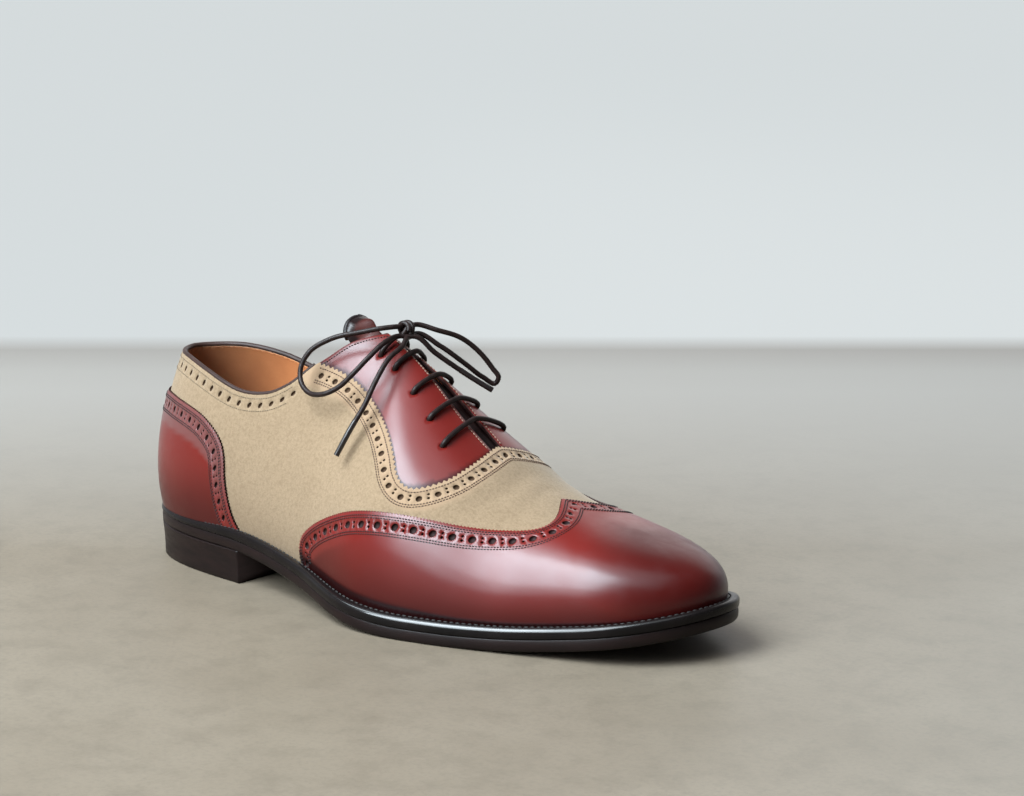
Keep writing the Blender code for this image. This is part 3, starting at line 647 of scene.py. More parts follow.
# The lining's tones are brightened as painted light, standing in for light that bounces round inside the shoe
LINING = lined("lining_calf", (0.59, 0.235, 0.09), (0.5, 0.185, 0.067), (0.068, 0.031, 0.0185), 0.0415)
RIM = plain_leather("collar_rim", (0.042, 0.021, 0.0165), (0.023, 0.0115, 0.0095), 0.52, coat=0.08)
TONGUE = dark_tongue("tongue_calf", (0.076, 0.019, 0.015), (0.0427, 0.0085, 0.0073), (0.0037, 0.0024, 0.0024))
TONGUE_RIM = plain_leather("tongue_rim", (0.012, 0.007, 0.0075), (0.006, 0.004, 0.0042), 0.45, coat=0.1)
WELT = plain_leather("welt_leather", (0.01, 0.0075, 0.0075), (0.005, 0.004, 0.004), 0.28, 700.0, 0.95, 0.1,
                     specular=0.12)
SOLE = plain_leather("sole_edge", (0.012, 0.0062, 0.0058), (0.0075, 0.0042, 0.004), 0.42, 500.0, 0.03, 0.25,
                     (1.0, 1.0, 4.0), 0.15)
THREAD_TAN = thread("thread_tan", (0.09, 0.044, 0.025), (0.048, 0.022, 0.013))
THREAD_RED = thread("thread_oxblood", (0.0073, 0.0024, 0.0031), (0.0037, 0.0018, 0.0018), 0.75)
THREAD_PALE = thread("thread_pale", (0.26, 0.165, 0.115), (0.15, 0.085, 0.06))
THREAD_COLLAR = thread("thread_collar", (0.1311, 0.0976, 0.0598), (0.0854, 0.058, 0.0335))
THREAD_WELT = thread("thread_welt", (0.015, 0.012, 0.0115), (0.007, 0.006, 0.0055), 0.7)
LACE = thread("waxed_lace", (0.018, 0.0095, 0.0085), (0.0075, 0.0044, 0.004), 0.42, 2200.0, 0.22)
AGLET = plain_leather("lace_tip", (0.02, 0.015, 0.0145), (0.011, 0.008, 0.008), 0.28, 900.0, 0.6, 0.12)

# The welt is polished on its outer rim along the forepart, and dull on its upper side, heel and toe
tree = WELT.node_tree
place = axes(node(tree, "ShaderNodeTexCoord").outputs["Object"])
facing_up = axes(node(tree, "ShaderNodeNewGeometry").outputs["Normal"])
polish = maths("MINIMUM", ramp(place["X"], 0.12, 0.95, 0.045, 0.11),
               ramp(facing_up["Z"], 0.03, 1.0, 0.1, 0.45))
polish = maths("MINIMUM", polish, ramp(place["X"], 1.0, 0.22, 0.19, 0.245))
plug(tree.nodes["Principled BSDF"], {"Coat Weight": polish})


def crease(u, v):
    """Height of the creases over the last, in metres."""
    here = np.stack([station_of(u) * LAST_LENGTH, v * CHART[1]], -1)
    total = np.zeros(len(here))
    for route, depth, width in CREASES:
        route = np.array(route) * (LAST_LENGTH, CHART[1])
        knots = np.arange(len(route), dtype=float)
        fine = np.linspace(0, knots[-1], 24)
        line = np.stack([hermite(fine, knots, route[:, axis]) for axis in (0, 1)], -1)
        start, run = line[:-1], np.diff(line, axis=0)
        offset = here[:, None, :] - start[None]
        t = np.clip((offset * run).sum(2) / (run ** 2).sum(1), 0, 1)
        gap = offset - t[..., None] * run
        distance = np.hypot(gap[..., 0], gap[..., 1])
        nearest = distance.argmin(1)
        rows = np.arange(len(here))
        share = (nearest + t[rows, nearest]) / len(run)
        fade = ease(np.minimum(share, 1 - share) / CREASE_FADE)
        side = np.sign(run[nearest, 0] * gap[rows, nearest, 1] - run[nearest, 1] * gap[rows, nearest, 0])
        across = distance[rows, nearest] * side / width
        swell = np.exp(-(across - CREASE_RIDGE) ** 2) + np.exp(-(across + CREASE_RIDGE) ** 2)
        total += depth * fade * (CREASE_SWELL * swell - np.exp(-across ** 2))
    return total


def lengths(points):
    """Length run from the first point to each point."""
    return np.concatenate([[0], np.cumsum(np.linalg.norm(np.diff(points, axis=0), axis=1))])


def evenly(line, spacing):
    """A (u, v) line in even steps of about the spacing in metres."""
    length = lengths(on_last(*line.T))
    even = np.linspace(0, length[-1], max(2, int(round(length[-1] / spacing)) + 1))
    return np.stack([np.interp(even, length, column) for column in line.T], -1)


def moved(line, distance):
    """A (u, v) line moved sideways by a few millimetres, in short steps that keep it even."""
    steps = max(1, math.ceil(abs(distance) / MOVE_STEP))
    for _ in range(steps):
        line = evenly(pushed(line, np.gradient(on_last(*line.T), axis=0), distance / steps), LINE_STEP)
    return line


def moved_by(line, distances):
    """A (u, v) line moved sideways by its own distance at each point."""
    smooth = np.gradient(on_last(*line.T), axis=0)
    kernel = np.ones(7) / 7
    run = [np.convolve(np.pad(column, 3, "edge"), kernel, "valid") for column in smooth.T]
    return pushed(line, np.stack(run, -1), distances)


def row_at(line, spacing, distance):
    """A row of even points beside a line."""
    return moved_by(evenly(line, spacing), distance)


def to_ridge(line):
    """An outer line that ends on the ridge: cut where it crosses, or run on to it."""
    inside = line[:, 1] < -0.004
    last = len(inside) - 1 if inside.all() else int(np.argmax(~inside & (np.arange(len(inside)) > 5))) - 1
    kept = line[:last + 1]
    run = kept[-1] - kept[-4]
    end = kept[-1] - run * (kept[-1][1] / run[1]) if abs(run[1]) > 1e-4 else kept[-1]
    return np.vstack([kept, [np.clip(end[0], kept[-1][0] - 0.02, kept[-1][0] + 0.02), 0.0]])


def gimped(line, pitch=GIMP_PITCH, depth=GIMP_DEPTH):
    """A line cut into fine teeth that stand out to its left by the gimp's depth."""
    even = evenly(line, pitch / 4)
    teeth = 0.5 - 0.5 * np.cos(np.arange(len(even)) * math.pi / 2)
    teeth[0] = teeth[-1] = 0.0
    return moved_by(even, teeth * depth)


def hole_rows(lines, pitch, big, small=None):
    """Punched holes along lines: big ones at the pitch, and a pair of small ones between each."""
    holes = []
    for line in lines:
        spots = evenly(line, pitch)
        holes += [(spot, big) for spot in spots]
        if small:
            between = (spots[1:] + spots[:-1]) / 2
            for offset in (-SMALL_OFFSET, SMALL_OFFSET):
                holes += [(spot, small) for spot in moved_by(between, offset)]
    return holes


def spaced(holes):
    """The holes that keep off those before them in the list."""
    seen = on_last(*np.array([spot for spot, radius in holes]).T)
    kept = []
    for i, (spot, radius) in enumerate(holes):
        if not any(np.linalg.norm(seen[i] - seen[j]) < radius + holes[j][1] + HOLE_GAP for j in kept):
            kept.append(i)
    return [holes[i] for i in kept]


def hole_ring(spot, radius, count):
    """A hole's rim as (u, v) points: an oval at the heel, slanted up towards the toe, rounder in front."""
    along_u, along_v = (slope[0] for slope in slopes_at(spot[:1], spot[1:]))
    x_axis = along_u / np.linalg.norm(along_u)
    y_axis = np.cross(last_normal(*spot), x_axis)
    angle = np.arange(count) * 2 * math.pi / count
    squeeze, slant = OVAL if station_of(spot[0]) < OVAL_BEFORE else ROUND
    slant = slant if spot[1] < 0 else -slant
    across, rise = np.cos(angle)[:, None] * squeeze, np.sin(angle)[:, None]
    offset = radius * ((across + slant * rise) * x_axis + rise * y_axis)
    slopes = np.stack([along_u, along_v])
    return spot + np.linalg.solve(slopes @ slopes.T, slopes @ offset.T).T


def inside_loop(points, loop):
    """Which points lie in a closed loop, in slices to save memory."""
    result = np.zeros(len(points), bool)
    start, end = loop, np.roll(loop, -1, axis=0)
    rise = np.where(end[:, 1] == start[:, 1], 1.0, end[:, 1] - start[:, 1])
    for first in range(0, len(points), 4000):
        px, py = points[first:first + 4000, 0:1], points[first:first + 4000, 1:2]
        spans = (start[:, 1] > py) != (end[:, 1] > py)
        crossing = start[:, 0] + (py - start[:, 1]) * (end[:, 0] - start[:, 0]) / rise
        result[first:first + 4000] = (spans & (px < crossing)).sum(1) % 2 == 1
    return result


def nearest(lines, points):
    """Distance on the chart from each (u, v) point to the nearest point of some lines."""
    fixed = np.concatenate(lines) * CHART
    tree = KDTree(len(fixed))
    for index, (x, y) in enumerate(fixed):
        tree.insert((x, y, 0.0), index)
    tree.balance()
    return np.array([tree.find((x, y, 0.0))[2] for x, y in points * CHART])


def mirrored(line):
    """The same edge on the other side."""
    return line * (1, -1)


def both(*lines):
    """Lines and their mirrors."""
    return [*lines, *map(mirrored, lines)]


def beside(line, u, v):
    """Distance on the chart from surface points to a line or its mirror."""
    return nearest(both(line), np.stack([u, v], -1))


def chart_mesh(outline, step, holes, rows):
    """Triangles over a (u, v) outline: returns points, triangles and each point's hole number."""
    edge = np.asarray(outline, float)
    loop = edge * CHART
    low, high = loop.min(0), loop.max(0)
    rise = step * ROW_RISE
    xs = np.arange(math.floor(low[0] / step), math.ceil(high[0] / step) + 1)
    ys = np.arange(math.floor(low[1] / rise), math.ceil(high[1] / rise) + 1) + 0.5
    grid_x, grid_y = np.meshgrid(xs, ys, indexing="ij")
    shifted = grid_x + 0.5 * (np.floor(grid_y) % 2)
    grid = np.stack([shifted.ravel() * step, grid_y.ravel() * rise], -1)
    grid = grid[inside_loop(grid, loop)] / CHART
    rings = [hole_ring(spot, radius + RIM_EXTRA, RIM_POINTS if radius > SMALL_HOLE else SMALL_RIM_POINTS)
             for spot, radius in holes]
    fixed = [edge] + rings
    for row in rows:
        keep = inside_loop(row * CHART, loop) & (nearest([edge], row) > EDGE_GAP)
        if rings:
            keep &= nearest(rings, row) > RIM_GAP
        fixed.append(row[keep])
    keep = nearest(fixed, grid) > step * GRID_GAP
    if holes:
        keep &= nearest([[spot for spot, radius in holes]], grid) > CENTRE_GAP
    flat = np.concatenate(fixed + [grid[keep]]) * CHART
    owner = np.full(len(flat), -1)
    edges = []
    first = len(edge)
    for number, ring in enumerate(rings):
        index = first + np.arange(len(ring))
        owner[index] = number
        edges += zip(index.tolist(), np.roll(index, -1).tolist())
        first += len(ring)
    cut = delaunay_2d_cdt([Vector(p) for p in flat.tolist()], edges, [list(range(len(edge)))], 1, 1e-9)
    points = np.array([tuple(p) for p in cut[0]]) / CHART
    number = np.array([owner[origin[0]] if origin else -1 for origin in cut[3]])
    return points, np.array([tuple(face) for face in cut[2]]), number


def add_object(name, data):
    """An object in the scene."""
    made = bpy.data.objects.new(name, data)
    bpy.context.scene.collection.objects.link(made)
    return made


def add_mesh(name, points, faces, looks, kinds=None, burnish_and_painted_light=None, sharp=()):
    """A smooth mesh object from arrays, with its tone of burnish and painted shade and highlight, and the
    edges that stay sharp.
    """
    mesh = bpy.data.meshes.new(name)
    mesh.from_pydata([tuple(p) for p in points], [], [tuple(int(i) for i in face) for face in faces])
    for look in looks:
        mesh.materials.append(look)
    if kinds is not None:
        mesh.polygons.foreach_set("material_index", np.asarray(kinds, np.int32))
    mesh.shade_smooth()
    if sharp:
        flags = [tuple(sorted(edge.vertices)) in sharp for edge in mesh.edges]
        mesh.attributes.new("sharp_edge", "BOOLEAN", "EDGE").data.foreach_set("value", flags)
    tone = mesh.attributes.new("burnish_and_painted_light", "FLOAT", "POINT")
    if burnish_and_painted_light is not None:
        tone.data.foreach_set("value", burnish_and_painted_light)
    return add_object(name, mesh)


def shell(name, outlines, step, height, wall, looks, raw, burnish_and_painted_light, holes=((),), rows=((),), drop=0.00025,
          soft=0.0009, depth=0.0009, creased=False):
    """A leather piece on the last: face, punched holes, cut edge and back, as one closed mesh.

    looks are the materials of face, hole, cut edge and back. raw are lines whose edge is rounded
    down by drop over the soft width.
    """
    verts, tris, number = [], [], []
    total, hole_total = 0, 0
    for outline, its_holes, its_rows in zip(outlines, holes, rows):
        points, faces, owner = chart_mesh(outline, step, its_holes, its_rows)
        verts.append(points)
        tris.append(faces + total)
        number.append(np.where(owner >= 0, owner + hole_total, -1))
        total += len(points)
        hole_total += len(its_holes)
    uv, tris, number = np.concatenate(verts), np.concatenate(tris), np.concatenate(number)
    # Points of the two sides that meet on the heel's or toe's centre line become one
    key = {}
    remap = np.arange(len(uv))
    for i in np.nonzero((uv[:, 0] < 1e-6) | (uv[:, 0] > 1 - 1e-6))[0]:
        remap[i] = key.setdefault((round(float(uv[i, 0])), round(abs(float(uv[i, 1])), 6)), i)
    used, tris = np.unique(remap[tris], return_inverse=True)
    tris = tris.reshape(-1, 3)
    uv, number = uv[used], number[used]
    tris = tris[(tris[:, 0] != tris[:, 1]) & (tris[:, 1] != tris[:, 2]) & (tris[:, 0] != tris[:, 2])]

    size = len(uv)
    top = np.full(size, height, float) if np.isscalar(height) else height(*uv.T)
    if creased:
        top = top + crease(*uv.T)
    away = nearest(raw, uv)
    top = top - drop * (1 - np.clip(away / soft, 0, 1)) ** 2
    normal = last_normal(*uv.T)
    outer = last_point(*uv.T) + normal * top[:, None]
    in_hole = (number[tris] >= 0).all(1) & (number[tris] == number[tris[:, :1]]).all(1)
    points = [outer, outer - normal * wall]
    faces = [tris[~in_hole], tris[:, ::-1] + size]
    kinds = [0] * len(faces[0]) + [3] * len(tris)
    quads, quad_kinds, sharp = [], [], set()

    # Each hole: a rounded lip, then a wall and a floor below its rim, dark as painted shade
    rim = np.nonzero(number >= 0)[0]
    if len(rim):
        centre = np.stack([np.bincount(number[rim], outer[rim, axis], hole_total) for axis in range(3)], -1)
        centre /= np.maximum(np.bincount(number[rim], minlength=hole_total), 1)[:, None]
        lip = {i: 2 * size + k for k, i in enumerate(rim.tolist())}
        for share, down in (HOLE_LIP, (HOLE_FLOOR, depth)):
            points.append(centre[number[rim]] * (1 - share) + outer[rim] * share - normal[rim] * down)
        floors = tris[in_hole].tolist()
        loose = dict.fromkeys(pair for face in floors for pair in zip(face, face[1:] + face[:1]))
        for a, b in loose:
            if (b, a) not in loose:
                quads.append((a, b, lip[b], lip[a]))
                quads.append((lip[a], lip[b], lip[b] + len(rim), lip[a] + len(rim)))
                quad_kinds += [0, 1]
                sharp.add(tuple(sorted((lip[a], lip[b]))))
        faces.append([[lip[i] + len(rim) for i in face] for face in floors])
        kinds += [1] * len(floors)

    # Cut edge round the outline
    directed = np.concatenate([tris[:, [0, 1]], tris[:, [1, 2]], tris[:, [2, 0]]])
    known = set(map(tuple, directed.tolist()))
    for a, b in directed.tolist():
        if (b, a) not in known:
            quads.append((a, a + size, b + size, b))
            quad_kinds.append(2)
            sharp.add(tuple(sorted((a, b))))
    points = np.concatenate(points)
    tone = np.zeros(len(points))
    tone[:size] = burnish_and_painted_light(*uv.T, away)
    return add_mesh(name, points, [face for block in faces for face in block] + quads, looks,
                    kinds + quad_kinds, tone, sharp)


# A stitch's form: a rounded bar along X, of length 2 and radius 1
BEAD_RINGS = ((-0.82, 0.75), (0.0, 1.0), (0.82, 0.75))
BEAD_SIDES = 6
BEAD_ANGLES = np.arange(BEAD_SIDES) * 2 * math.pi / BEAD_SIDES
BEAD = np.array([
    (-1.0, 0.0, 0.0), *((x, r * math.cos(a), r * math.sin(a)) for x, r in BEAD_RINGS for a in BEAD_ANGLES),
    (1.0, 0.0, 0.0)])
BEAD_FACES = [face for k, n in ((k, (k + 1) % BEAD_SIDES) for k in range(BEAD_SIDES)) for face in (
    (0, 1 + n, 1 + k), (1 + k, 1 + n, 7 + n, 7 + k), (7 + k, 7 + n, 13 + n, 13 + k), (13 + k, 13 + n, 19))]


def one_stitch(start, end, normal, size):
    """Points of a stitch between two points, lying across the normal."""
    x_axis = (end - start) / np.linalg.norm(end - start)
    y_axis = np.cross(normal, x_axis)
    y_axis /= np.linalg.norm(y_axis)
    return (start + end) / 2 + (BEAD * size) @ np.stack([x_axis, y_axis, np.cross(x_axis, y_axis)])


def add_stitches(name, stitches, look):
    """Stitches as one mesh."""
    faces = [[i + first * len(BEAD) for i in face] for first in range(len(stitches)) for face in BEAD_FACES]
    return add_mesh(name, np.concatenate(stitches), faces, [look])


def stitch_rows(name, rows, look, height, pitch=STITCH_PITCH, width=STITCH_WIDTH, creased=False):
    """Rows of stitches on the last, as one mesh."""
    stitches = []
    for row in rows:
        line = evenly(row, pitch)
        lift = height if np.isscalar(height) else height(*line.T)
        if creased:
            lift = lift + crease(*line.T)
        normal = last_normal(*line.T)
        place = on_last(*line.T) + normal * np.reshape(lift, (-1, 1))
        for start, end, up in zip(place, place[1:], normal):
            length = np.linalg.norm(end - start)
            if length >= pitch * 0.3:
                stitches.append(one_stitch(start, end, up, (length * STITCH_SHARE, width * 0.5, width * 0.4)))
    return add_stitches(name, stitches, look)


def strip(name, line, height, look, profile):
    """A strip along a line of the last: its profile is given outward and away from the edge."""
    normal = last_normal(*line.T)
    points = on_last(*line.T) + normal * np.reshape(height, (-1, 1))
    up = np.cross(np.gradient(points, axis=0), normal)
    up /= np.linalg.norm(up, axis=1, keepdims=True)
    rings = [p + np.outer([a for a, b in profile], s) + np.outer([b for a, b in profile], z)
             for p, s, z in zip(points, normal, up)]
    count, size = len(rings), len(profile)
    faces = [(i * size + k, (i + 1) * size + k, (i + 1) * size + (k + 1) % size, i * size + (k + 1) % size)
             for i in range(count - 1) for k in range(size)]
    faces += [range(size), range(count * size - 1, (count - 1) * size - 1, -1)]
    return add_mesh(name, np.concatenate(rings), faces, [look])


def stacked(name, rings, look, capped=True, paired=0):
    """A closed body from rings of points, top one first.

    It is capped by strips across, between ends that are one point or a pair, or joined last to first.
    """
    count, size = len(rings), len(rings[0])
    faces = []
    for level in range(count - capped):
        a, b = level * size, (level + 1) % count * size
        faces += [(a + i, b + i, b + (i + 1) % size, a + (i + 1) % size) for i in range(size)]
    if capped:
        for base, order in ((0, 1), ((count - 1) * size, -1)):
            for i in range(size // 2 - paired):
                far = size - i - paired
                face = (base + i, base + i + 1, base + (far - 1) % size, base + far % size)
                faces.append(list(dict.fromkeys(face))[::order])
    return add_mesh(name, np.concatenate(rings), faces, [look])


def put(piece, slot, *nodes):
    """A piece rides on the shoe and stands for its CAD nodes; the slot is not used."""
    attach(piece, "root")
    if nodes:
        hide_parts(*nodes)
    return piece


def route_line(route, spacing=0.0009):
    """Evenly spaced points on a smooth curve through points in metres, and its length."""
    route = np.array(route, float)
    reach = lengths(route)
    fine = np.linspace(0, reach[-1], 2000)
    curve = np.stack([hermite(fine, reach, column) for column in route.T], -1)
    length = lengths(curve)
    even = np.linspace(0, length[-1], max(3, round(length[-1] / spacing) + 1))
    return np.stack([np.interp(even, length, column) for column in curve.T], -1), length[-1]


def cord_curve(name, points, diameter=LACE_DIAMETER, look=LACE):
    """A round cord as one open line."""
    curve = bpy.data.curves.new(name, "CURVE")
    curve.dimensions = "3D"
    curve.bevel_depth = diameter / 2
    curve.bevel_resolution = 4
    curve.use_fill_caps = True
    line = curve.splines.new("POLY")
    line.points.add(len(points) - 1)
    for slot, point in zip(line.points, points):
        slot.co = (*point, 1.0)
    line.use_smooth = True
    curve.materials.append(look)
    return add_object(name, curve)


# Camera at the photograph's angle
azimuth, elevation = math.radians(CAMERA_AZIMUTH), math.radians(CAMERA_ELEVATION)
back = Vector((math.sin(azimuth) * math.cos(elevation), -math.cos(azimuth) * math.cos(elevation),
               math.sin(elevation)))
right = Vector((math.cos(azimuth), math.sin(azimuth), 0.0))
camera = add_object("camera", bpy.data.cameras.new("camera"))
camera.matrix_world = Matrix((right, back.cross(right), back)).transposed().to_4x4()
camera.location = Vector(CAMERA_AIM) + back * CAMERA_DISTANCE
camera.data.sensor_width = SENSOR_WIDTH
camera.data.lens = CAMERA_FOCAL_PIXELS / IMAGE_WIDTH * SENSOR_WIDTH
camera.data.clip_start = 0.05
camera.data.clip_end = 30.0
bpy.context.scene.camera = camera

# Laces: two free cords that meet in the knot, each from a top eyelet to its loop and its end.
# The lace comes up through the eyelet and over the facing to the knot's foot: points as v and height
KNOT = on_last(u_of(KNOT_STATION), 0.0, LACE_DIAMETER + KNOT_HEIGHT / 2 + 2 * CLEARANCE - FACING_DROP)
FROM_EYELET = (
    (0.196, -0.0026), (0.193, -0.0008), (0.18, 0.0009), (0.15, 0.0015), (0.105, 0.0019), (0.06, 0.0024))
LACES = (
    ("lace_outer_loop", MEDIAL, ((-0.6, 2.6, -2.0), (-1.2, 1.4, 0.4)), LOOP_LATERAL,
     ((1.8, -1.4, -2.6),), END_MEDIAL, ("lace_loop_lateral", "lace_end_medial", "lace_bar_1")),
    ("lace_inner_loop", LATERAL, ((0.4, -2.6, -1.8), (1.2, -0.6, 0.8)), LOOP_MEDIAL,
     ((0.9, 0.6, -3.4),), END_LATERAL, ("lace_loop_medial", "lace_end_lateral")),
)
TIP_POINTS = 19
for name, side, into, loop, through, end, nodes in LACES:
    start = [on_last(u_of(BARS["station"][0]), side * v, height) for v, height in FROM_EYELET]
    free = [KNOT + np.array(point) * BOW_UNIT for point in into + loop + through + end]
    points, length = route_line(start + free)
    lace = put(cord_curve(name, points), "lace_brown", *nodes)
    tip = put(cord_curve(name.replace("loop", "tip"), points[-TIP_POINTS:], LACE_DIAMETER + 0.0002, AGLET),
              "lace_brown")

# The knot: turns of lace round the crossing cords
KNOT_TURNS = 1.6
KNOT_RADIUS_X = 0.0029
KNOT_RADIUS_Z = 0.003
turn = np.linspace(0, 2 * math.pi * KNOT_TURNS, 90)
wrap = KNOT + np.stack([
    KNOT_RADIUS_X * np.cos(turn), -0.0017 + 0.0036 * turn / turn[-1] + 0.0004 * np.sin(2 * turn),
    -0.0002 + KNOT_RADIUS_Z * np.sin(turn)], -1)
put(cord_curve("bow_knot", wrap, LACE_DIAMETER * 0.98), "lace_brown", "lace_knot")

# Rungs of the lacing: up through the outer eyelet, across the slit and down the inner one
RUNG = ((1.03, -0.0028), (1.025, -0.001), (0.985, 0.0007), (0.87, 0.0011), (0.63, 0.0012), (0.32, 0.0014))
for number, (station, reach) in enumerate(zip(BARS["station"][1:], BARS["reach"][1:]), 2):
    half = [(-share * reach, height) for share, height in RUNG]
    spots = half + [(0.0, 0.0017)] + [(-v, height) for v, height in half[::-1]]
    route = [on_last(u_of(station), v, height) for v, height in spots]
    put(cord_curve(f"lace_rung_{number}", route_line(route)[0]), "lace_brown", f"lace_bar_{number}")

# Edges of the pieces as (u, v) lines on the outer side; the inner side mirrors them
LOW = -1.008
collar = edge_line(COLLAR_EDGE, LATERAL, 160)
facing_edge = edge_line(FACING_EDGE, LATERAL, 260)
facing_top = edge_line(FACING_TOP, LATERAL, 60)
wing_line = edge_line(WING_EDGE, LATERAL, 300)
wing_line = wing_line[wing_line[:, 1] > LOW + 0.012]
counter_line = edge_line(COUNTER_EDGE, LATERAL, 200)
counter_line = counter_line[counter_line[:, 1] > LOW + 0.012]
facing_teeth = gimped(facing_edge, BAND_PITCH, BAND_DEPTH)
wing_teeth = gimped(wing_line)
counter_teeth = gimped(counter_line)

# The outlines run in steps of this many metres along the foot and the centre lines
OUTLINE_STEP = 0.0016


def foot_run(start_u, end_u):
    """(u, v) points along the foot of the last, a little under the feather edge."""
    count = max(2, int(abs(end_u - start_u) * CHART[0] / OUTLINE_STEP) + 1)
    u = np.linspace(start_u, end_u, count)
    return np.stack([u, LOW + 0 * u], -1)


def seam_run(u, start_v, end_v):
    """(u, v) points on the heel's or toe's centre line, in the same places on both sides."""
    grid = np.arange(-79, 80) * OUTLINE_STEP / CHART[1]
    low, high = min(start_v, end_v), max(start_v, end_v)
    v = np.concatenate([[low], grid[(grid > low + 0.006) & (grid < high - 0.006)], [high]])
    return np.stack([u + 0 * v, v if start_v < end_v else v[::-1]], -1)


def fading(distance, share, reach, soft):
    """A share that ends over a soft width at some distance."""
    return share * (1 - ease((distance - reach) / soft))


def suede_tone(u, v, away):
    """The suede is darker low down; its punched band along the facings is paler, by negative numbers."""
    low = ease((np.abs(v) - 0.86) / 0.14) * 0.35
    return np.clip(low - fading(beside(facing_edge, u, v), 0.85, 0.0074, 0.0016), -1, 1)


def wing_tone(u, v, away):
    """Burnish of the wing cap: dark at the welt and the tip, with a painted shadow along its foot above the
    welt and a painted highlight paler on its punched band.
    """
    low = ease((np.abs(v) - 0.7) / 0.32) * 0.62
    # Painted shadow in the gap above the welt
    foot = 0.96 * ease((np.abs(v) - 0.935) / 0.03)
    tip = ease((station_of(u) - 0.85) / 0.12) * 0.6
    # Painted highlight: the punched band paler
    band = fading(beside(wing_line, u, v), 0.75, 0.008, 0.0014)
    return np.clip(np.maximum(np.maximum(low, tip) - band, foot), -1, 0.97)


def counter_tone(u, v, away):
    """Burnish of the heel counter, dark at the welt, with a painted highlight paler on its punched band."""
    low = ease((np.abs(v) - 0.8) / 0.2) * 0.62
    # Painted highlight: the punched band paler
    return np.clip(low - fading(beside(counter_line, u, v), 0.6, 0.0076, 0.0014), -1, 0.9)


def facing_tone(u, v, away):
    """Burnish of the facings at the cut edges, and painted shade dark where the suede's teeth lie over them.
    """
    # Painted shade under the suede's teeth
    teeth = fading(beside(facing_edge, u, v), 0.72, 0.0012, 0.0007)
    return np.maximum(0.35 * (1 - np.clip(away / 0.0015, 0, 1)), teeth)


def tongue_tone(u, v, away):
    """The tongue is nearly black as painted shade under the lacing, nearly black at its bound edge too,
    reddish above.
    """
    # Painted shade under the lacing
    under = 0.92 * ease((station_of(u) - 0.385) / 0.02)
    return np.maximum(under, fading(away, 0.9, 0.004, 0.002))


# Suede vamp and quarters
collar_rim = evenly(collar, 0.001)
suede_outline = joined(
    foot_run(0, 1), seam_run(1, LOW, -LOW), mirrored(foot_run(0, 1))[::-1],
    mirrored(seam_run(0, collar[0][1], LOW))[::-1], mirrored(collar_rim),
    mirrored(facing_teeth), facing_teeth[::-1], collar_rim[::-1], seam_run(0, collar[0][1], LOW))
facing_hole_line = to_ridge(moved(facing_edge, -FACING_HOLES)[4:])
collar_hole_line = moved(collar, -COLLAR_HOLES)
keep = (collar_hole_line[:, 0] > u_of(0.012)) & (collar_hole_line[:, 0] < u_of(0.318))
suede_holes = hole_rows(both(facing_hole_line), FACING_PITCH, FACING_HOLE, SMALL_HOLE)
suede_holes += hole_rows(both(collar_hole_line[keep]), COLLAR_PITCH, COLLAR_HOLE)
suede_rows = [row_at(collar, 0.0008, -0.0004), row_at(collar, 0.0008, -0.001),
              row_at(facing_edge, 0.0006, -0.0004)]
put(shell("suede_upper", [suede_outline], STEP_SUEDE, 0.0, UPPER_WALL, (SUEDE, HOLE_TAN, SUEDE_EDGE, LINING),
          both(collar, facing_teeth), suede_tone, [spaced(suede_holes)], [both(*suede_rows)], creased=True),
    "suede", "upper")

# Facings: smooth leather under the suede's gimped border
FACING_ROUND = 0.0003
EYELET_DEPTH = 0.0014
border = evenly(facing_edge, LINE_STEP)
border = moved_by(border, 0.0002 - 0.0016 * ease(np.linspace(0, 1, len(border)) / 0.08))
teeth_rows = [row_at(facing_edge, 0.0008, distance) for distance in (0.0005, 0.001, 0.0016)]
eyelets = np.stack([u_of(BARS["station"]), -1.02 * BARS["reach"]], -1)
SLITS = ((LATERAL, SLIT_LATERAL, SLIT_LATERAL_TOP), (MEDIAL, SLIT_MEDIAL, SLIT_MEDIAL_TOP))
for name, node_name, (side, slit, slit_top) in zip(
        ("facing_outer", "facing_inner"), ("facing_lateral", "facing_medial"), SLITS):
    to_side = (1, -side)
    slit_line = evenly(np.array([[border[-1][0], -slit], [facing_top[-1][0], -slit_top]]), 0.0011)
    top_line = evenly(facing_top[facing_top[:, 1] < -slit_top - 0.003], 0.0011)
    outline = joined(border[border[:, 1] < -slit - 0.004], slit_line, top_line[::-1]) * to_side
    inner_rows = [moved_by(slit_line, 0.0005), moved_by(top_line[::-1], 0.0005)]
    inner_rows += [row[row[:, 1] < -slit - 0.012] for row in teeth_rows]
    put(shell(name, [outline[::int(-side)]], STEP_LEATHER, -FACING_DROP, FACING_WALL,
              (RED, HOLE_RED, RED_INSIDE, LINING), [slit_line * to_side, top_line * to_side], facing_tone,
              [[(spot * to_side, EYELET_HOLE) for spot in eyelets]], [[row * to_side for row in inner_rows]],
              FACING_ROUND, depth=EYELET_DEPTH), "oxblood", node_name)

# Overlays: thin leather with rounded edges on the upper
OVERLAY_HEIGHT = OVERLAY_CLEARANCE + OVERLAY_THICKNESS
OVERLAY_ROUND = 0.0004
OVERLAY_SOFT = 0.0016


def overlay(name, outlines, line, teeth, tone, holes, node_name, creased=False):
    """The wing cap or the heel counter."""
    rows = [row_at(line, 0.0006, -distance) for distance in (0.0004, 0.001)]
    rows = [both(*rows)] if len(outlines) == 1 else [rows, [mirrored(row) for row in rows]]
    looks = (RED, HOLE_RED, RED_INSIDE, RED_INSIDE)
    piece = shell(name, outlines, STEP_LEATHER, OVERLAY_HEIGHT, OVERLAY_THICKNESS, looks, both(teeth), tone,
                  holes, rows, OVERLAY_ROUND, OVERLAY_SOFT, creased=creased)
    put(piece, "oxblood", node_name)


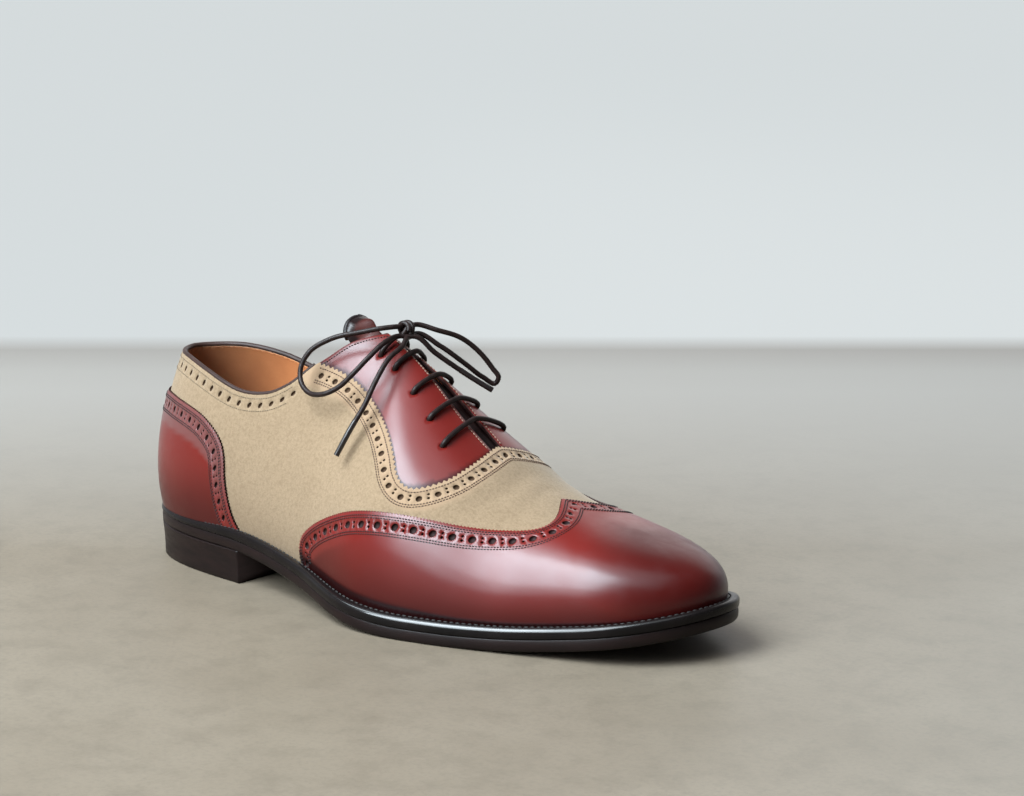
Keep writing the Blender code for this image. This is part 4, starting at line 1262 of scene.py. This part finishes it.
# Wing cap
wing_foot = foot_run(float(wing_teeth[0][0]), 1)
wing_outline = joined(wing_foot, seam_run(1, LOW, -LOW), mirrored(wing_foot)[::-1], mirrored(wing_teeth),
                      wing_teeth[::-1])
wing_hole_line = to_ridge(moved(wing_line, -WING_HOLES))
wing_hole_line = wing_hole_line[wing_hole_line[:, 1] > -0.985]
wing_holes = hole_rows(both(wing_hole_line), WING_PITCH, WING_HOLE, SMALL_HOLE)
wing_holes = spaced([(spot, radius) for spot, radius in wing_holes if abs(spot[1]) < 0.985])
overlay("wing_cap_leather", [wing_outline], wing_line, wing_teeth, wing_tone, [wing_holes], "wing_cap", True)

# Heel counter: outer and inner side joined at the back seam
outer = joined(foot_run(0, float(counter_teeth[-1][0])), counter_teeth[::-1],
               seam_run(0, counter_teeth[0][1], LOW))
line = moved(counter_line, -COUNTER_HOLES)
line = line[(line[:, 0] > u_of(0.006)) & (line[:, 1] > -0.975)]
counter_holes = [(spot, radius) for spot, radius in hole_rows([line], COUNTER_PITCH, COUNTER_HOLE, SMALL_HOLE)
                 if spot[1] > -0.98 and spot[0] > u_of(0.004)]
overlay("counter_leather", [outer, mirrored(outer)[::-1]], counter_line, counter_teeth, counter_tone,
        [counter_holes, [(mirrored(spot), radius) for spot, radius in counter_holes]], "heel_counter")

# Tongue
TONGUE_FLARE = 0.0034
TONGUE_BULGE = 0.0022
TONGUE_FOLD = 0.0005
TONGUE_ROUND = 0.0005
TONGUE_SOFT = 0.0018


def tongue_level(u, v):
    """Outer side of the tongue: flared at its free top, with a soft fold where it shows in the slit."""
    station = station_of(u)
    flare = TONGUE_FLARE * (0.45 + 0.55 * np.clip(np.abs(v) / 0.14, 0, 1.1) ** 2)
    flare = flare * ease((0.384 - station) / 0.03)
    bulge = TONGUE_BULGE * np.exp(-((station - 0.372) / 0.014) ** 2 - (v / 0.13) ** 2)
    fold = TONGUE_FOLD * np.exp(-((v - 0.035) / 0.012) ** 2) * ease((station - 0.4) / 0.03)
    return flare + bulge + fold - UPPER_WALL - TONGUE_CLEARANCE


tongue_edge = evenly(edge_line(TONGUE_EDGE, LATERAL, 200), 0.0013)
put(shell("tongue_leather", [joined(tongue_edge, mirrored(tongue_edge)[::-1])], STEP_LEATHER, tongue_level,
          TONGUE_WALL, (TONGUE, HOLE_RED, RIM, LINING), both(tongue_edge), tongue_tone,
          drop=TONGUE_ROUND, soft=TONGUE_SOFT), "tongue_leather", "tongue")

# Bound top edge of the tongue, and the collar's rim: a folded strip over the top edge
STRIP_TURN = np.arange(14) * math.pi / 7
bound = tongue_edge[station_of(tongue_edge[:, 0]) < 0.362]
bound = np.concatenate([bound[::-1], mirrored(bound)[1:]])
put(strip("tongue_bound_edge", bound, tongue_level(*bound.T) - TONGUE_WALL / 2, TONGUE_RIM,
          [(0.00125 * math.cos(a), 0.0012 * math.sin(a)) for a in STRIP_TURN]), "dark_edge")
rim_line = row_at(collar, LINE_STEP, CLEARANCE)
rim_line[0, 0] = 0.0
rim_line = np.concatenate([rim_line[::-1], mirrored(rim_line)[1:]])[1:-1]
put(strip("collar_rim_strip", rim_line, -UPPER_WALL / 2, RIM,
          [(0.0012 * math.cos(a), 0.0002 + 0.001 * math.sin(a)) for a in STRIP_TURN]),
    "dark_edge", "collar_binding")


def ledge(station):
    """Width of the welt outside the feather edge."""
    return read(LEDGE, "width", station) * LEDGE_WIDTH


def station_at(x):
    """Share of the last's length at a plan position."""
    return (x - last_x(0.0)) / LAST_LENGTH


def ring_at(outward, depth):
    """A ring round the sole: distance outward from the feather edge in plan, depth under the bed."""
    plan = RING + RING_NORMAL * np.reshape(outward, (-1, 1))
    return np.column_stack([plan, bed(station_at(plan[:, 0])) - depth])


# Bottom: rings round the feather edge, from heel to heel
BOTTOM_COLUMNS = 240
WELT_RIM = 0.0019
WELT_RISE = 0.0017
WELT_SEAM = 0.46
WELT_PITCH = 0.0027
ring_u = np.linspace(0, 1, BOTTOM_COLUMNS + 1)
ring_u = (1 - np.cos(math.pi * ring_u)) / 2 * 0.25 + ring_u * 0.75
RING, RING_NORMAL = (
    np.concatenate([np.stack(form(ring_u, LATERAL), -1), np.stack(form(ring_u, MEDIAL), -1)[-2:0:-1]])
    for form in (feather, plan_normal))
RING_STATION = station_of(np.concatenate([ring_u, ring_u[-2:0:-1]]))

# Welt: raised towards its rounded rim along the forepart
width = ledge(RING_STATION)
welt_rise = WELT_RISE * ease((RING_STATION - 0.1) / 0.2)
tuck = -UPPER_WALL - 2 * CLEARANCE
top = CLEARANCE
bottom = CLEARANCE + WELT_THICKNESS
welt_rows = [(tuck, top), (0.0004, top), (width * 0.22, top), (width * 0.36, top - welt_rise * 0.8),
             (width * 0.5, top - welt_rise)]
welt_rows += [(width - WELT_RIM * (1 - math.sin(a)), top - welt_rise + WELT_RIM * (1 - math.cos(a)))
              for a in np.arange(8) * math.pi / 14]
welt_rows += [(width, bottom - 0.0004), (width - 0.00025, bottom), (tuck, bottom)]
put(stacked("welt_strip", [ring_at(*row) for row in welt_rows], WELT, capped=False), "welt_black", "welt")

# Outsole, with a groove along its underside
side = width - WELT_STEP
under = WELT_THICKNESS + 2 * CLEARANCE
sole_rows = [
    (side - 0.0003, under - 0.0002), (side, under + 0.0004), (side + 0.0001, under + 0.0022),
    (side, SOLE_STACK - 0.0012), (side - 0.0003, SOLE_STACK - 0.0005), (side - SOLE_BEVEL, SOLE_STACK),
    (side - 0.006, SOLE_STACK), (side - 0.0064, SOLE_STACK - 0.00025), (side - 0.0068, SOLE_STACK)]
put(stacked("outsole_leather", [ring_at(*row) for row in sole_rows], SOLE), "sole_black", "outsole")

# Welt stitches along the ledge
seam = ring_at(width * WELT_SEAM, 0.0)
seam[:, 2] += welt_rise - top - 0.00006
ahead = RING_STATION > 0.17
stitches = []
for part in (slice(None, BOTTOM_COLUMNS + 1), slice(BOTTOM_COLUMNS, None)):
    even, _ = route_line(seam[part][ahead[part]], WELT_PITCH)
    stitches += [one_stitch(a, b, (0, 0, 1.0), (0.00095, 0.0004, 0.0003)) for a, b in zip(even, even[1:])]
put(add_stitches("welt_stitches", stitches, THREAD_WELT), "welt_black")

# Heel: stacked lifts with a straight breast
HEEL_LEVELS = (0.0, 0.03, 0.235, 0.25, 0.265, 0.485, 0.5, 0.515, 0.735, 0.75, 0.765, 0.97, 1.0)
HEEL_GROOVES = {0.25: 0.00001, 0.5: 0.00001, 0.75: 0.00001, 1.0: 0.0004}
HEEL_WAIST = 0.00022
HEEL_POINTS = 70
breast_x = HEEL_LENGTH / 2
heel_u = np.linspace(0, u_of(station_at(breast_x)), 90)
heel_rings = []
for level in HEEL_LEVELS:
    groove = HEEL_GROOVES.get(level, 0.0)
    taper = HEEL_TAPER * level + HEEL_WAIST * math.sin(math.pi * level)
    halves = []
    for foot_side in (LATERAL, MEDIAL):
        outward = ledge(station_of(heel_u)) - WELT_STEP - taper - groove
        x, y = np.array(feather(heel_u, foot_side)) + np.array(plan_normal(heel_u, foot_side)) * outward
        keep = x < breast_x - 0.0005
        line = np.column_stack([
            np.append(x[keep], breast_x - groove), np.append(y[keep], np.interp(breast_x, x, y)),
            np.zeros(keep.sum() + 1)])
        line = route_line(line, 0.0011)[0]
        place = np.linspace(0, len(line) - 1, HEEL_POINTS)
        halves.append(np.stack([np.interp(place, np.arange(len(line)), column) for column in line.T], -1))
    ring = np.concatenate([halves[0], halves[1][:0:-1]])
    heel_rings.append(ring + (0, 0, (bed(0.05) - SOLE_STACK - CLEARANCE * 0.2) * (1 - level)))
put(stacked("heel_stack", heel_rings, SOLE), "sole_black", "heel")

# Sock: lining leather over the insole, with a heel pad
SOCK_INSET = -UPPER_WALL - 0.0011
SOCK_DISH = 0.0012
HEEL_PAD = 0.0007
share = np.linspace(-1, 1, 41)
sock_rings = []
for u in np.linspace(0.004, 0.996, 150):
    left, right = (np.array(feather(u, side)) + np.array(plan_normal(u, side)) * SOCK_INSET
                   for side in (LATERAL, MEDIAL))
    plan = left + np.outer((share + 1) / 2, right - left)
    station = station_at(plan[:, 0])
    pad = ease((0.235 + 0.02 * (1 - share * share) - station) / 0.006) * ease((0.93 - abs(share)) / 0.03)
    rise = INSOLE_RISE + SOCK_DISH * abs(share) ** 3 + HEEL_PAD * pad
    upper = np.column_stack([plan, bed(station) + rise])
    lower = np.column_stack([plan, bed(station) - WELT_THICKNESS])
    sock_rings.append(np.concatenate([upper, lower[::-1]]))
put(stacked("sock_lining", sock_rings, LINING, paired=1), "lining_tan", "insole")


def rounded(teeth):
    """Height of stitches on an overlay's rounded edge."""
    def level(u, v):
        rounding = 1 - np.clip(beside(teeth, u, v) / OVERLAY_SOFT, 0, 1)
        return OVERLAY_HEIGHT + STITCH_LEVEL - OVERLAY_ROUND * rounding ** 2
    return level


# Stitch rows
facing_rows = [to_ridge(moved(facing_edge, -distance)[2:]) for distance in FACING_ROWS]
put(stitch_rows("suede_stitches", both(*facing_rows), THREAD_TAN, STITCH_LEVEL, creased=True), "suede")
collar_rows = [moved(collar, -distance) for distance in COLLAR_ROWS]
collar_rows = [row[(row[:, 0] > u_of(0.004)) & (row[:, 0] < u_of(0.312))] for row in collar_rows]
put(stitch_rows("collar_stitches", both(*collar_rows), THREAD_COLLAR, STITCH_LEVEL, width=0.00034), "suede")
wing_rows = [to_ridge(moved(wing_line, -distance)) for distance in WING_ROWS]
put(stitch_rows("wing_stitches", both(*wing_rows), THREAD_RED, rounded(wing_teeth), creased=True), "oxblood")
counter_rows = [moved(counter_line, -distance) for distance in COUNTER_ROWS]
counter_rows = [row[row[:, 0] > 0] for row in counter_rows]
put(stitch_rows("counter_stitches", both(*counter_rows), THREAD_RED, rounded(counter_teeth)), "oxblood")
slit_rows, top_rows = [], []
for side, slit, slit_top in SLITS:
    ends = [[u_of(0.655), side * (slit + 0.016)], [u_of(0.414), side * (slit_top + 0.016)]]
    slit_rows.append(evenly(np.array(ends), 0.001))
    top_row = moved(facing_top, -0.0018)
    top_rows.append(top_row[top_row[:, 1] < -slit_top - 0.02] * (1, -side))
sunk = STITCH_LEVEL - FACING_DROP
put(stitch_rows("slit_stitches", slit_rows, THREAD_PALE, sunk, 0.0016, 0.00058), "oxblood")
put(stitch_rows("facing_top_stitches", top_rows, THREAD_RED, sunk), "oxblood")

# Floor: pale concrete, lighter away from the camera and towards the right as painted light, with a painted
# shadow darker at the wall's foot, that turns into a bright wall far behind the shoe
BACKWARD = (-0.643, 0.766, 0.0)
SIDEWARD = (0.766, 0.643, 0.0)
bpy.ops.mesh.primitive_plane_add(size=12.0)
floor = bpy.context.object
floor.name = "floor"
made, shader, where = material("pale_floor")
away = along(where, BACKWARD)
clouds = noise(where, 9.0, 6.0, 0.6)
specks = noise(where, 420.0, 4.0, 0.7)
colour = mix(ramp(clouds, 0.0, 1.0), (0.188, 0.155, 0.117), (0.162, 0.132, 0.098))
mottle = noise(where, 55.0, 8.0, 0.72)
# Real mottle and specks, then painted light lighter away from the camera and towards the right, and painted
# shadow in a darker band at the wall's foot
for share, tone in (
        (ramp(mottle, 0.0, 0.6, 0.47, 0.72), (0.118, 0.097, 0.072)),
        (ramp(specks, 0.0, 0.4, 0.46, 0.7), (0.118, 0.098, 0.076)),
        (ramp(away, 0.0, 1.0, 0.00, 0.34), (0.29, 0.268, 0.244)),
        (ramp(along(where, SIDEWARD), 0.0, 0.75, 0.15, 0.75), (0.335, 0.32, 0.296)),
        (ramp(away, 0.0, 1.0, 0.4, 0.46), (0.257, 0.234, 0.212))):
    colour = mix(share, colour, tone)
wall = ramp(away, 0.0, 1.0, 0.462, 0.505)
plug(shader, {
    "Base Color": mix(wall, colour, (0.02, 0.02, 0.02)), "Roughness": 0.48, "Specular IOR Level": 0.18,
    "Emission Color": (0.59, 0.632, 0.64, 1.0), "Emission Strength": wall,
    "Normal": bump(specks, 0.15, 0.0004)})
floor.data.materials.append(made)

# Studio light: a world brighter behind the shoe and below the horizon, and five soft boxes
world = bpy.data.worlds.new("studio")
world.use_nodes = True
toward = node(world.node_tree, "ShaderNodeTexCoord").outputs["Generated"]
strength = maths("ADD", ramp(along(toward, BACKWARD), 0.12, 0.62, 0.1, 0.8),
                 ramp(axes(toward)["Z"], 0.0, -0.45, 0.35, 0.75))
plug(world.node_tree.nodes["Background"], {
    "Strength": maths("MAXIMUM", strength, 0.07), "Color": (0.88, 0.9, 0.94, 1.0)})
bpy.context.scene.world = world
LIGHT_AIM = Vector((0.11, 0.0, 0.04))
DAYLIGHT = (0.82, 0.93, 1.0)


def softbox(name, azimuth, elevation, distance, width, height, radiance, colour=DAYLIGHT):
    """An area light aimed at the shoe: azimuth from +X towards +Y, in degrees."""
    a, e = math.radians(azimuth), math.radians(elevation)
    outward = Vector((math.cos(a) * math.cos(e), math.sin(a) * math.cos(e), math.sin(e)))
    data = bpy.data.lights.new(name, "AREA")
    data.shape = "RECTANGLE"
    data.size = width
    data.size_y = height
    data.energy = radiance * math.pi * width * height
    data.color = colour
    light = add_object(name, data)
    light.location = LIGHT_AIM + outward * distance
    light.rotation_mode = "QUATERNION"
    light.rotation_quaternion = (-outward).to_track_quat("-Z", "Y")


softbox("window", -104, 46, 1.6, 0.98, 1.3, 17.0)
softbox("window_low", -100, 16, 1.6, 0.46, 0.5, 9.5)
softbox("window_high", -140, 60, 1.6, 1.00, 0.7, 7.0)
softbox("wall", 105, 26, 2.0, 2.0, 1.2, 0.8, (1.0, 0.985, 0.96))
softbox("sky", -68, 70, 1.8, 1.9, 1.6, 2.2, (0.9, 0.96, 1.0))

bpy.context.scene.view_settings.view_transform = "Standard"
